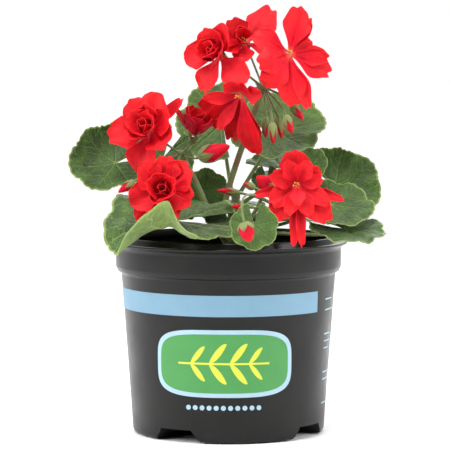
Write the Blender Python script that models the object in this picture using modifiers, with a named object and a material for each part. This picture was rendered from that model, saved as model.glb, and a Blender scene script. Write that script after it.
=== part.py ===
"""A zonal geranium in a black nursery pot: pot, potting mix, woody stem, leaves, flower stalks,
open florets on their calyces, and buds. Metres, +Z up. The origin is the centre of the circle
that the pot stands on, and the label side of the pot faces -Y."""

import math

import bmesh
import bpy
from mathutils import Vector

MM = 0.001

# Pot, in millimetres.
POT_HEIGHT = 138.0
COLLAR_RISE = 4.5
LIP_RADIUS = 83.5
COLLAR_RADIUS = LIP_RADIUS - 8.0
LIP_DROP = 7.5
SKIRT_RADIUS = LIP_RADIUS - 4.5
SKIRT_HEIGHT = 17.5
BODY_TOP_RADIUS = LIP_RADIUS - 8.1
BODY_FOOT_RADIUS = LIP_RADIUS - 16.5
WALL = 1.5
TURN_STEPS = 40

# Drainage channels pressed up into the floor, and the pads that the pot stands on.
CHANNELS = 4
CHANNEL_TURN = 57.0
CHANNEL_HEIGHT = 9.0
CHANNEL_FOOT_ANGLE = 16.3
CHANNEL_TOP_ANGLE = 10.5
CHANNEL_INNER_RADIUS = LIP_RADIUS - 57.5
DRAIN_RADIUS = 3.5
DRAIN_RING_RADIUS = LIP_RADIUS - 35.5
PAD_HEIGHT = 0.8
PAD_LENGTH = 12.0
PAD_WIDTH = 3.0
PAD_SPREAD = 12.5

# Potting mix.
MIX_BELOW_RIM = 19.5
MIX_CROWN = 4.0
MIX_CLEARANCE = 0.6

# Plant. Its layout is drawn for a pot of the height and lip radius given here; a taller pot
# lifts it, and it grows and spreads with a wider one.
DRAWN_POT_HEIGHT = 138.0
DRAWN_LIP_RADIUS = 83.5
GROWTH = LIP_RADIUS / DRAWN_LIP_RADIUS
GAP = 0.4
STEM_RADIUS = 5.0
STEM_IN_MIX = 22.0
BLADE_THICKNESS = 0.8
BLADE_COLUMNS = 18
BLADE_ROWS = 3
SINUS_ANGLE = 14.0
PETIOLE_RADIUS = 1.3
STALK_RADIUS = 2.3
PEDICEL_RADIUS = 0.8
CALYX_RADIUS = 2.3
CALYX_LENGTH = 6.0
PETAL_THICKNESS = 0.7
PETAL_COLUMNS = 4
PETAL_ROWS = 3
PETAL_NOTCH = 0.62


def clear_scene():
    """Removes every object of the startup scene."""
    for thing in list(bpy.data.objects):
        bpy.data.objects.remove(thing)


def make_collection(name):
    """A new collection in the scene."""
    made = bpy.data.collections.new(name)
    bpy.context.scene.collection.children.link(made)
    return made


def make_material(name, colour, roughness):
    """A Principled material of one colour."""
    made = bpy.data.materials.new(name)
    made.use_nodes = True
    shader = made.node_tree.nodes["Principled BSDF"]
    shader.inputs["Base Color"].default_value = (*colour, 1.0)
    shader.inputs["Roughness"].default_value = roughness
    shader.inputs["Metallic"].default_value = 0.0
    return made


def add_object(name, mesh, material, collection):
    """Links a mesh as a named object with one material."""
    mesh.materials.clear()
    mesh.materials.append(material)
    thing = bpy.data.objects.new(name, mesh)
    collection.objects.link(thing)
    return thing


def add_helper(name, mesh, collection):
    """Links a mesh that only cuts or joins, so it is not part of the object."""
    thing = bpy.data.objects.new(name, mesh)
    collection.objects.link(thing)
    thing.hide_render = True
    thing.display_type = "WIRE"
    return thing


def add_boolean(thing, operation, other):
    """A Boolean with one object, or with a collection of them."""
    modifier = thing.modifiers.new(operation.lower(), "BOOLEAN")
    modifier.operation = operation
    modifier.solver = "EXACT"
    if isinstance(other, bpy.types.Collection):
        modifier.operand_type = "COLLECTION"
        modifier.collection = other
    else:
        modifier.object = other
    return modifier


def add_solidify(thing, thickness, offset):
    """A wall of even thickness on an open surface."""
    modifier = thing.modifiers.new("wall", "SOLIDIFY")
    modifier.thickness = thickness * MM
    modifier.offset = offset
    modifier.use_even_offset = True
    return modifier


def smooth(thing, angle=35.0):
    """Shades the faces smooth, apart from edges sharper than the angle."""
    thing.data.shade_smooth()
    thing.data.set_sharp_from_angle(angle=math.radians(angle))


def turned_mesh(name, profile):
    """The polyline of a profile in the XZ plane, to be turned by a Screw modifier."""
    mesh = bpy.data.meshes.new(name)
    frame = bmesh.new()
    points = [frame.verts.new((radius * MM, 0.0, height * MM)) for radius, height in profile]
    for first, second in zip(points, points[1:]):
        frame.edges.new((first, second))
    frame.to_mesh(mesh)
    frame.free()
    return mesh


def add_screw(thing):
    """Turns the profile once round Z."""
    modifier = thing.modifiers.new("turn", "SCREW")
    modifier.steps = TURN_STEPS
    modifier.render_steps = TURN_STEPS
    modifier.use_merge_vertices = True
    modifier.merge_threshold = 0.00005
    modifier.use_smooth_shade = True
    return modifier


def cylinder_mesh(name, radius, low, high, centre=(0.0, 0.0), segments=24):
    """A closed upright cylinder, in millimetres."""
    mesh = bpy.data.meshes.new(name)
    frame = bmesh.new()
    bmesh.ops.create_cone(
        frame, cap_ends=True, segments=segments,
        radius1=radius * MM, radius2=radius * MM, depth=(high - low) * MM,
    )
    middle = Vector((centre[0], centre[1], (low + high) / 2)) * MM
    bmesh.ops.translate(frame, verts=frame.verts, vec=middle)
    frame.to_mesh(mesh)
    frame.free()
    return mesh


def box_mesh(name, sizes, centre, turn):
    """A closed box, turned round Z, in millimetres."""
    mesh = bpy.data.meshes.new(name)
    frame = bmesh.new()
    bmesh.ops.create_cube(frame, size=1.0)
    bmesh.ops.scale(frame, verts=frame.verts, vec=Vector(sizes) * MM)
    for vertex in frame.verts:
        x, y, z = vertex.co
        along, across = math.cos(turn), math.sin(turn)
        vertex.co = Vector((x * along - y * across, x * across + y * along, z))
    bmesh.ops.translate(frame, verts=frame.verts, vec=Vector(centre) * MM)
    frame.to_mesh(mesh)
    frame.free()
    return mesh


def channel_mesh(name, turn, inner, outer, low, high, grow):
    """A radial block with sloping sides, wider at its foot, whose ends are arcs round Z."""
    arc_steps = 6

    def corner(radius, share, height_share):
        foot, top = CHANNEL_FOOT_ANGLE, CHANNEL_TOP_ANGLE
        height = low + (high - low) * height_share
        half = math.radians(foot + (top - foot) * height / CHANNEL_HEIGHT)
        angle = turn + half * share
        side = grow * share
        return Vector((
            radius * math.cos(angle) - side * math.sin(angle),
            radius * math.sin(angle) + side * math.cos(angle),
            height,
        )) * MM

    shares = [2.0 * step / arc_steps - 1.0 for step in range(arc_steps + 1)]
    outline = [(outer, share) for share in shares]
    outline += [(inner, share) for share in reversed(shares)]
    mesh = bpy.data.meshes.new(name)
    frame = bmesh.new()
    foot = [frame.verts.new(corner(radius, share, 0.0)) for radius, share in outline]
    floor = frame.faces.new(foot)
    raised = bmesh.ops.extrude_face_region(frame, geom=[floor])["geom"]
    top = [item for item in raised if isinstance(item, bmesh.types.BMVert)]
    for vertex in top:
        below = min(range(len(foot)), key=lambda k: (foot[k].co - vertex.co).length)
        vertex.co = corner(*outline[below], 1.0)
    bmesh.ops.triangulate(frame, faces=frame.faces)
    bmesh.ops.recalc_face_normals(frame, faces=frame.faces)
    frame.to_mesh(mesh)
    frame.free()
    return mesh


def bezier(points, count):
    """Points along the Bezier curve of any number of control points."""
    controls = [Vector(point) for point in points]
    path = []
    for step in range(count):
        share = step / (count - 1)
        level = controls
        while len(level) > 1:
            level = [a.lerp(b, share) for a, b in zip(level, level[1:])]
        path.append(level[0])
    return path


def tube_mesh(name, path, radii, resolution=1):
    """A closed tube along a path, with one radius for each point, in millimetres."""
    curve = bpy.data.curves.new(name, "CURVE")
    curve.dimensions = "3D"
    curve.bevel_depth = MM
    curve.bevel_resolution = resolution
    curve.use_fill_caps = True
    curve.resolution_u = 1
    spline = curve.splines.new("POLY")
    spline.points.add(len(path) - 1)
    for point, place, radius in zip(spline.points, path, radii):
        point.co = (*(place * MM), 1.0)
        point.radius = radius
    holder = bpy.data.objects.new(name, curve)
    bpy.context.scene.collection.objects.link(holder)
    graph = bpy.context.evaluated_depsgraph_get()
    mesh = bpy.data.meshes.new_from_object(holder.evaluated_get(graph))
    bpy.data.objects.remove(holder)
    frame = bmesh.new()
    frame.from_mesh(mesh)
    bmesh.ops.remove_doubles(frame, verts=frame.verts, dist=0.00001)
    bmesh.ops.recalc_face_normals(frame, faces=frame.faces)
    frame.to_mesh(mesh)
    frame.free()
    return mesh


def axes_of(forward, face):
    """Unit axes of a flat thing: towards its tip, to its left and out of its face."""
    out = Vector(face).normalized()
    tip = Vector(forward)
    tip = (tip - out * tip.dot(out)).normalized()
    return tip, out.cross(tip), out


def polar_grid(name, columns, rows, place, closed):
    """A grid whose columns become spokes about a centre: place(turn, reach) gives each point."""
    mesh = bpy.data.meshes.new(name)
    frame = bmesh.new()
    bmesh.ops.create_grid(frame, x_segments=columns, y_segments=rows, size=1.0)
    for vertex in frame.verts:
        turn = vertex.co.x
        reach = (vertex.co.y + 1.0) / 2.0
        if closed and turn > 0.9999:
            turn = -1.0
        vertex.co = place(turn, reach) * MM
    bmesh.ops.remove_doubles(frame, verts=frame.verts, dist=0.00002)
    frame.to_mesh(mesh)
    frame.free()
    return mesh


# ---------------------------------------------------------------------------------------------
# Pot and potting mix


def skirt_foot():
    """Height of the skirt's lower edge."""
    return POT_HEIGHT - LIP_DROP - SKIRT_HEIGHT


def body_radius(height):
    """Outer radius of the pot's body at a height."""
    share = height / skirt_foot()
    return BODY_FOOT_RADIUS + (BODY_TOP_RADIUS - BODY_FOOT_RADIUS) * share


def pot_inside():
    """Inner face of the pot, from the edge of its floor up to the collar."""
    shelf = POT_HEIGHT - COLLAR_RISE
    foot = skirt_foot()
    return [
        (body_radius(3.0) - WALL - 1.0, PAD_HEIGHT + WALL),
        (body_radius(4.0) - WALL, 4.0),
        (body_radius(foot) - WALL, foot + WALL),
        (SKIRT_RADIUS - WALL, foot + WALL + 2.5),
        (SKIRT_RADIUS - WALL, shelf - WALL - 2.0),
        (COLLAR_RADIUS - WALL, shelf - WALL + 0.5),
        (COLLAR_RADIUS - WALL, POT_HEIGHT - 0.6),
    ]


def inside_radius(height):
    """Radius of the pot's inner face at a height."""
    face = pot_inside()
    for (low_radius, low), (high_radius, high) in zip(face, face[1:]):
        if low <= height <= high:
            share = (height - low) / (high - low)
            return low_radius + (high_radius - low_radius) * share
    return face[-1][0]


def pot_profile():
    """Closed section of the pot: outside from the collar down, then the inside back up."""
    shelf = POT_HEIGHT - COLLAR_RISE
    skirt_top = POT_HEIGHT - LIP_DROP
    foot = skirt_foot()
    outside = [
        (COLLAR_RADIUS - WALL / 2, POT_HEIGHT),
        (COLLAR_RADIUS, POT_HEIGHT - 0.6),
        (COLLAR_RADIUS + 0.8, shelf + 0.2),
        (COLLAR_RADIUS + 2.5, shelf),
        (LIP_RADIUS - 0.8, shelf + 1.0),
        (LIP_RADIUS, shelf + 0.5),
        (LIP_RADIUS - 0.3, shelf - 0.7),
        (SKIRT_RADIUS + 1.6, skirt_top + 1.0),
        (SKIRT_RADIUS + 0.4, skirt_top),
        (SKIRT_RADIUS, skirt_top - 1.5),
        (SKIRT_RADIUS, foot + 4.0),
        (SKIRT_RADIUS - 1.2, foot + 0.8),
        (BODY_TOP_RADIUS + 0.6, foot),
        (body_radius(foot - 1.5), foot - 1.5),
        (body_radius(3.0), 3.0),
        (BODY_FOOT_RADIUS - 0.4, PAD_HEIGHT + 0.6),
        (BODY_FOOT_RADIUS - 1.2, PAD_HEIGHT),
        (0.0, PAD_HEIGHT),
        (0.0, PAD_HEIGHT + WALL),
    ]
    return [*outside, *pot_inside(), outside[0]]


def channel_turns():
    """Directions of the drainage channels, in radians from +X."""
    first = math.radians(-90.0 + CHANNEL_TURN)
    return [first + 2.0 * math.pi * k / CHANNELS for k in range(CHANNELS)]


def build_pot(collection, material):
    """The moulded pot with its flared lip, skirt, feet and drainage channels."""
    pot = add_object("pot", turned_mesh("pot", pot_profile()), material, collection)
    add_screw(pot)
    covers = make_collection("channel_covers")
    cuts = make_collection("channel_cuts")
    pads = make_collection("foot_pads")
    floor_top = PAD_HEIGHT + WALL
    wall_middle = body_radius(CHANNEL_HEIGHT) - 0.9 * WALL
    for number, turn in enumerate(channel_turns()):
        cover = channel_mesh(
            f"cover_{number}", turn, CHANNEL_INNER_RADIUS - WALL, wall_middle,
            floor_top - 0.4, CHANNEL_HEIGHT + WALL, WALL,
        )
        add_helper(f"cover_{number}", cover, covers)
        cut = channel_mesh(
            f"channel_{number}", turn, CHANNEL_INNER_RADIUS, BODY_TOP_RADIUS,
            -1.0, CHANNEL_HEIGHT, 0.0,
        )
        add_helper(f"channel_{number}", cut, cuts)
        centre = (DRAIN_RING_RADIUS * math.cos(turn), DRAIN_RING_RADIUS * math.sin(turn))
        drain = cylinder_mesh(f"drain_{number}", DRAIN_RADIUS, 2.0, CHANNEL_HEIGHT + 2 * WALL, centre)
        add_helper(f"drain_{number}", drain, cuts)
        for side in (-1, 1):
            angle = turn + math.pi / CHANNELS + side * math.radians(PAD_SPREAD)
            radius = BODY_FOOT_RADIUS - 1.2 - PAD_WIDTH
            place = (radius * math.cos(angle), radius * math.sin(angle), 0.75 * PAD_HEIGHT)
            pad = box_mesh(
                f"pad_{number}_{side}", (PAD_WIDTH, PAD_LENGTH, 1.5 * PAD_HEIGHT), place, angle
            )
            add_helper(f"pad_{number}_{side}", pad, pads)
    add_boolean(pot, "UNION", covers)
    add_boolean(pot, "DIFFERENCE", cuts)
    add_boolean(pot, "UNION", pads)
    return pot


def build_mix(collection, material):
    """Potting mix that fills the pot to below its rim, with a socket for the stem."""
    floor = PAD_HEIGHT + WALL + MIX_CLEARANCE
    edge = POT_HEIGHT - MIX_BELOW_RIM
    heights = [height for _, height in pot_inside() if floor + 1.0 < height < edge]
    side = [(inside_radius(edge) - MIX_CLEARANCE, edge)]
    side += [(inside_radius(height) - MIX_CLEARANCE, height) for height in reversed(heights)]
    profile = [
        (0.0, edge + MIX_CROWN),
        (STEM_RADIUS * 4.0, edge + 0.9 * MIX_CROWN),
        (inside_radius(edge) * 0.66, edge + 0.4 * MIX_CROWN),
        *side,
        (inside_radius(floor) - MIX_CLEARANCE, floor),
        (0.0, floor),
    ]
    mix = add_object("potting_mix", turned_mesh("potting_mix", profile), material, collection)
    add_screw(mix)
    cuts = make_collection("mix_cuts")
    for number, turn in enumerate(channel_turns()):
        grow = WALL + MIX_CLEARANCE
        cut = channel_mesh(
            f"mix_channel_{number}", turn, CHANNEL_INNER_RADIUS - grow, BODY_TOP_RADIUS,
            -1.0, CHANNEL_HEIGHT + grow, grow,
        )
        add_helper(f"mix_channel_{number}", cut, cuts)
    low = edge - STEM_IN_MIX - GAP
    socket = cylinder_mesh("stem_socket", STEM_RADIUS * GROWTH * 1.1 + GAP, low, POT_HEIGHT)
    add_helper("stem_socket", socket, cuts)
    add_boolean(mix, "DIFFERENCE", cuts)
    return mix


# ---------------------------------------------------------------------------------------------
# Plant

# Branches of the stem: name, control points, radius at each end.
BRANCHES = [
    ("left", [(0, 0, 134), (-6, -3, 141), (-12, -8, 150)], 4.2, 3.0),
    ("right", [(0, 0, 132), (7, -2, 138), (15, -8, 146)], 4.2, 3.0),
    ("back", [(0, 0, 136), (3, 7, 150), (6, 16, 168)], 4.2, 2.8),
]
STEM_TOP = 146.0

# Leaves: junction of stalk and blade, way to the tip, way the face looks, radius, cup, fold and
# curls, each curl being the angle round the blade, its width and its strength, in degrees; then
# the control points of the stalk, from the stem.
LEAVES = {
    "leaf_front_left": (
        (-36, -52, 152), (-1, -0.1, -0.1), (0.08, -0.5, 0.85), 52, 6, 0,
        [(66, 28, 95), (12, 26, -60), (120, 28, 20), (-95, 55, -35)], [(-11, -12, 143), (-18, -30, 142)],
    ),
    "leaf_far_left": (
        (-79, -6, 189), (-1, -0.1, -0.2), (-0.15, -0.68, 0.72), 34, 22, 0,
        [(-75, 60, 65)], [(-14, -4, 151), (-40, -9, 175)],
    ),
    "leaf_mid_left": (
        (-46, 14, 192), (-0.5, -0.2, -0.8), (-0.3, -0.9, 0.35), 27, 15, 0,
        [], [(-12, 2, 148), (-37, 17, 160)],
    ),
    "leaf_back_left": (
        (-6, 46, 214), (-0.55, 0.2, 0.8), (-0.3, -0.85, 0.4), 34, 15, 0,
        [], [(3, 21, 164), (-2, 46, 186)],
    ),
    "leaf_back_right": (
        (32, 18, 212), (1, -0.1, 0.2), (-0.05, -0.62, 0.78), 38, 12, 0,
        [], [(9, 16, 168), (20, 22, 186)],
    ),
    "leaf_right_behind": (
        (39, 38, 183), (1, 0.15, 0.05), (0, -0.4, 0.9), 31, 10, 0,
        [], [(11, 20, 160), (24, 24, 168)],
    ),
    "leaf_right_small": (
        (58, -20, 188), (0.45, -0.2, 0.8), (-0.35, -0.9, 0.25), 13, 25, 0,
        [], [(18, -3, 150), (44, -10, 166)],
    ),
    "leaf_right_tall": (
        (75, -2, 173), (0.8, 0.1, -0.45), (0.15, -0.75, 0.6), 33, 8, 0,
        [(95, 50, 90)], [(20, -8, 149), (56, -8, 150)],
    ),
    "leaf_right_low": (
        (71, -34, 161.5), (1, -0.05, -0.1), (0.1, -0.5, 0.85), 30, 8, 0,
        [], [(18, -14, 147), (40, -24, 151)],
    ),
    "leaf_right_rim": (
        (80, -48, 146), (0.95, -0.3, -0.05), (0.08, -0.3, 0.95), 29, 5, 0,
        [], [(15, -15, 141), (40, -36, 142)],
    ),
    "leaf_small_front": (
        (17, -86, 151), (0, -0.25, -0.95), (0, -0.9, 0.3), 18, 15, 0,
        [], [(5, -13, 141), (10, -50, 140), (15, -78, 150)],
    ),
    "leaf_centre_light": (
        (-17, 8, 168), (0.15, -0.1, 1), (0.25, -0.95, 0.1), 17, 10, 18,
        [], [(-1, 9, 157), (-10, 11, 163)],
    ),
    "leaf_centre_dark": (
        (0, -32, 152), (0.35, -0.8, -0.45), (0, -0.55, 0.85), 18, 10, 0,
        [], [(1, -8, 141), (1, -20, 143)],
    ),
    "leaf_centre_back": (
        (27, -2, 177), (0.1, 0, -1), (-0.1, -1, 0.2), 12, 12, 0,
        [], [(14, 1, 148), (24, 2, 160)],
    ),
    "leaf_rear": (
        (-4, 70, 158), (0.05, 1, 0.1), (0, 0.1, 1), 34, -12, 0,
        [], [(1, 11, 146), (-3, 40, 148)],
    ),
    "leaf_rear_left": (
        (-48, 34, 150), (-0.8, 0.6, 0.05), (-0.1, 0.1, 1), 31, -12, 0,
        [], [(-8, 4, 142), (-28, 20, 142)],
    ),
    "leaf_rear_right": (
        (49, 38, 150), (0.75, 0.65, 0.05), (0.1, 0.1, 1), 31, -12, 0,
        [], [(8, 4, 141), (28, 24, 142)],
    ),
}

# Flower stalks: control points from the stem to the hub.
STALKS = {
    "flower_stalk_top": [(-4, -6, 148), (-3, -8, 170), (10, -8, 200), (23, -8, 239)],
    "flower_stalk_left": [(-14, -12, 154), (-20, -10, 172), (-32, -14, 193)],
    "flower_stalk_right": [(17, -12, 150), (24, -20, 156), (34, -32, 158)],
}
HUB_RADIUS = 3.4

# Florets: hub, middle of the floret, way it faces, way of its first petal, then each petal as
# the angle round the floret, its length, its rise from flat and its curl, in degrees.
FLORETS = {
    "floret_top_left": (
        "flower_stalk_top", (-6, -18, 264), (-0.6, -0.7, 0.3), (0, 0, 1),
        [(0, 22, 35, 15), (50, 22, 25, 15), (100, 25, 22, 20), (160, 27, 5, -10), (200, 17, 50, 15),
         (235, 28, -3, -8), (275, 20, 40, 15), (325, 24, 25, 15)],
    ),
    "floret_top_back": (
        "flower_stalk_top", (12, 6, 272), (-0.2, -0.8, 0.5), (0.1, 0, 1),
        [(340, 30, 15, 0), (50, 18, 30, 10), (110, 16, 30, 0), (190, 18, 10, 0), (262, 24, 10, 0)],
    ),
    "floret_top_right": (
        "flower_stalk_top", (42, -18, 265), (0.15, -0.95, 0.2), (0.1, 0, 1),
        [(345, 33, 10, 0), (65, 27, 15, 0), (130, 26, 10, 0), (178, 37, 5, 0), (210, 37, 5, 0),
         (255, 32, 10, 0), (305, 17, 10, 0)],
    ),
    "floret_drooping": (
        "flower_stalk_top", (9, -28, 238), (-0.35, -0.85, -0.4), (0, 0, 1),
        [(30, 14, 15, 0), (100, 38, 10, 0), (142, 34, 10, 0), (180, 42, 5, 0), (215, 22, 10, 0),
         (290, 14, 15, 0)],
    ),
    "floret_half_open": (
        "flower_stalk_left", (-24, -10, 209), (0.2, -0.2, 1), (0, -1, 0),
        [(0, 16, 50, 10), (72, 16, 50, 10), (144, 16, 50, 10), (216, 16, 50, 10), (288, 16, 50, 10)],
    ),
    "floret_left": (
        "flower_stalk_left", (-53, -26, 213), (-0.35, -0.75, 0.55), (0, 0, 1),
        [(0, 24, 55, 10), (50, 25, 10, 0), (100, 20, 50, 10), (150, 25, 5, 0), (200, 28, 5, 0),
         (250, 22, 45, 10), (305, 25, 15, 0)],
    ),
    "floret_front_left": (
        "flower_stalk_left", (-43, -61, 173), (-0.15, -0.97, 0.2), (0.1, 0, 1),
        [(0, 21, 45, 10), (50, 22, 10, 0), (100, 18, 45, 10), (150, 20, 5, 0), (205, 20, 5, 0),
         (255, 18, 45, 10), (305, 22, 10, 0)],
    ),
    "floret_front_right": (
        "flower_stalk_right", (46, -64, 176), (0.05, -0.95, 0.25), (0, 0, 1),
        [(0, 23, 20, 0), (60, 24, 15, 0), (115, 26, 10, 0), (165, 38, 5, 0), (200, 36, 5, 0),
         (245, 31, 10, 0), (300, 26, 15, 0)],
    ),
}

# Buds: stalk that bears it, foot, tip, length of the bud and its greatest radius.
BUDS = {
    "bud_left_large": ("flower_stalk_left", (-24, -24, 192), (1, -30, 202), 24, 6.0),
    "bud_right_upper": ("flower_stalk_right", (30, -46, 174), (19, -49, 182), 15, 5.6),
    "bud_right_lower": ("flower_stalk_right", (2, -98, 186), (14, -99, 141), 14, 5.6),
    "bud_spear_left": ("flower_stalk_right", (20, -36, 168), (-8, -38, 172), 16, 2.6),
    "bud_spear_right": ("flower_stalk_right", (22, -48, 160), (2, -58, 162), 13, 2.6),
    "bud_green": ("flower_stalk_right", (26, -32, 170), (10, -30, 176), 9, 2.6),
    "bud_behind_left": ("flower_stalk_left", (-52, -30, 186), (-76, -36, 170), 14, 3.2),
    "bud_hanging_1": ("flower_stalk_top", (26, 8, 230), (26, 5, 206), 15, 2.4),
    "bud_hanging_2": ("flower_stalk_top", (30, -22, 226), (31, -26, 203), 15, 2.4),
    "bud_hanging_3": ("flower_stalk_top", (34, -10, 224), (37, -13, 206), 15, 2.4),
    "bud_hanging_4": ("flower_stalk_top", (37, -20, 230), (44, -24, 210), 14, 2.8),
    "bud_hanging_5": ("flower_stalk_top", (40, -10, 236), (52, -12, 219), 15, 3.0),
}


def build_stem(collection, helpers, material):
    """The woody stem with its branches, rooted in the mix."""
    foot = POT_HEIGHT - MIX_BELOW_RIM - STEM_IN_MIX
    trunk = bezier([(0, 0, foot), (0, 0, foot + 20), grown((0, 0, STEM_TOP))], 6)
    radii = [STEM_RADIUS * GROWTH * share for share in (0.8, 1.0, 1.0, 1.0, 0.95, 0.8)]
    stem = add_object("stem", tube_mesh("stem", trunk, radii, 2), material, collection)
    for name, points, thick, thin in BRANCHES:
        path = bezier([grown(point) for point in points], 5)
        taper = [GROWTH * (thick + (thin - thick) * step / 4) for step in range(5)]
        branch = add_helper(f"branch_{name}", tube_mesh(name, path, taper, 2), helpers)
        add_boolean(stem, "UNION", branch)
    smooth(stem)
    return stem


def grown(point):
    """A point of the plant's layout, as it lies on the plant in this pot."""
    x, y, z = point
    return Vector((x * GROWTH, y * GROWTH, POT_HEIGHT + (z - DRAWN_POT_HEIGHT) * GROWTH))


def blade_outline(angle):
    """Share of the radius that a blade has at an angle from its tip: shallow lobes."""
    lobes = 0.04 * math.cos(7.0 * angle)
    shoulder = 0.12 * (1.0 - math.cos(angle)) / 2.0
    return 0.96 + lobes - shoulder


def blade_place(leaf, turn, reach):
    """A point of a blade: a spoke bent to an arc, from the junction to the margin."""
    junction, forward, face, radius, cup, fold, curls = leaf[:7]
    tip, left, out = axes_of(forward, face)
    angle = turn * (math.pi - math.radians(SINUS_ANGLE))
    bend = math.radians(cup)
    for centre, width, strength in curls:
        away = (math.degrees(angle) - centre + 180.0) % 360.0 - 180.0
        bend += math.radians(strength) * math.exp(-((away / width) ** 2))
    bend *= reach
    length = GROWTH * radius * blade_outline(angle) * reach
    if abs(bend) < 1e-4:
        flat, lift = length, 0.0
    else:
        flat, lift = length * math.sin(bend) / bend, length * (1.0 - math.cos(bend)) / bend
    across = flat * math.sin(angle)
    lift += abs(across) * math.tan(math.radians(fold))
    return grown(junction) + tip * flat * math.cos(angle) + left * across + out * lift


def build_leaf(name, leaf, collection, helpers, material):
    """One leaf: a curled blade with lobes and a sinus, joined to its stalk."""
    def place(turn, reach):
        return blade_place(leaf, turn, reach)

    mesh = polar_grid(name, BLADE_COLUMNS, BLADE_ROWS, place, closed=False)
    blade = add_object(name, mesh, material, collection)
    add_solidify(blade, BLADE_THICKNESS, 0.0)
    junction = grown(leaf[0])
    _, _, out = axes_of(leaf[1], leaf[2])
    below = junction - out * leaf[3] * 0.25 * GROWTH
    controls = [grown(point) for point in leaf[7]]
    path = bezier([*controls, below, junction + out * BLADE_THICKNESS * 0.8], 8)
    radii = [GROWTH * PETIOLE_RADIUS * (1.15 - 0.25 * step / 7) for step in range(8)]
    stalk = add_helper(f"{name}_stalk", tube_mesh(f"{name}_stalk", path, radii), helpers)
    add_boolean(blade, "UNION", stalk)
    smooth(blade)
    return blade


def build_stalk(name, points, collection, material):
    """A flower stalk that ends in the hub of its umbel."""
    path = bezier([grown(point) for point in points], 9)
    radii = [GROWTH * STALK_RADIUS * share for share in (1, 1, 1, 1, 1, 1, 1, 1.1, 0.9)]
    way = (path[-1] - path[-2]).normalized()
    path += [path[-1] + way * 1.5, path[-1] + way * 4.0, path[-1] + way * 6.0]
    radii += [HUB_RADIUS, HUB_RADIUS, HUB_RADIUS * 0.4]
    stalk = add_object(name, tube_mesh(name, path, radii), material, collection)
    smooth(stalk)
    return stalk


def hub_of(stalk):
    """Middle of the hub at the end of a flower stalk."""
    end = grown(STALKS[stalk][-1])
    way = (end - grown(STALKS[stalk][-2])).normalized()
    return end + way * 3.0


def build_pedicel(name, stalk, end, way, collection, material):
    """The thread-like stalk of one floret with the green calyx at its end."""
    hub = hub_of(stalk)
    foot = Vector(end) - Vector(way).normalized() * CALYX_LENGTH
    first = (foot - hub).normalized()
    start = hub + first * (HUB_RADIUS + PEDICEL_RADIUS + GAP)
    stem = bezier([start, start.lerp(foot, 0.5), foot], 4)
    calyx = [foot.lerp(Vector(end), share) for share in (0.35, 0.7, 1.0)]
    radii = [PEDICEL_RADIUS] * 4 + [CALYX_RADIUS * share for share in (0.7, 0.95, 1.0)]
    made = add_object(name, tube_mesh(name, stem + calyx, radii), material, collection)
    smooth(made)
    return made


def petal_spot(petals, turn):
    """Angle, length, rise and curl of a corolla at a turn from -1 to 1 round it."""
    spot = (turn + 1.0) / 2.0 * len(petals)
    number = min(int(spot), len(petals) - 1)
    across = 2.0 * (spot - number) - 1.0
    angle, length, rise, curl = petals[number]
    near = petals[(number + (1 if across > 0.0 else -1)) % len(petals)]
    away = (near[0] - angle + 180.0) % 360.0 - 180.0
    share = abs(across)
    blend = share ** 3
    lobe = PETAL_NOTCH + (1.0 - PETAL_NOTCH) * (1.0 - blend)
    length = (length + (near[1] - length) * blend / 2.0) * lobe * GROWTH
    rise += (near[2] - rise) * blend / 2.0
    curl += (near[3] - curl) * blend / 2.0
    return angle + away / 2.0 * share, length, rise, curl


def corolla_place(floret, turn, reach):
    """A point of a corolla, whose petals are lobes of one sheet."""
    _, middle, face, first, petals = floret
    up, left, out = axes_of(first, face)
    angle, length, rise, curl = petal_spot(petals, turn)
    around = math.radians(angle)
    slope = math.radians(rise + curl * reach)
    flat = length * reach * math.cos(slope)
    lift = length * reach * math.sin(slope)
    return grown(middle) + (up * math.cos(around) + left * math.sin(around)) * flat + out * lift


def build_floret(name, floret, collection, red, green):
    """One open floret: the corolla, and the calyx and pedicel behind it."""
    def place(turn, reach):
        return corolla_place(floret, turn, reach)

    columns = PETAL_COLUMNS * len(floret[4])
    mesh = polar_grid(name, columns, PETAL_ROWS, place, closed=True)
    corolla = add_object(name, mesh, red, collection)
    add_solidify(corolla, PETAL_THICKNESS, 0.0)
    smooth(corolla)
    face = Vector(floret[2]).normalized()
    end = grown(floret[1]) - face * (PETAL_THICKNESS + GAP + 0.6)
    build_pedicel(name.replace("floret", "calyx"), floret[0], end, face, collection, green)
    return corolla


def build_bud(name, bud, collection, material):
    """One closed bud on its pedicel."""
    stalk, foot, tip, length, radius = bud
    hub = hub_of(stalk)
    foot, tip = grown(foot), grown(tip)
    way = (tip - foot).normalized()
    neck = tip - way * length * GROWTH
    first = (foot - hub).normalized()
    start = hub + first * (HUB_RADIUS + PEDICEL_RADIUS + GAP)
    stem = bezier([start, foot, neck], 4)
    shares = [(0.1, 0.5), (0.3, 0.9), (0.55, 1.0), (0.8, 0.65), (1.0, 0.15)]
    belly = [neck.lerp(tip, along) for along, _ in shares]
    radii = [PEDICEL_RADIUS] * 4 + [radius * share for _, share in shares]
    made = add_object(name, tube_mesh(name, stem + belly, radii), material, collection)
    smooth(made)
    return made


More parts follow.
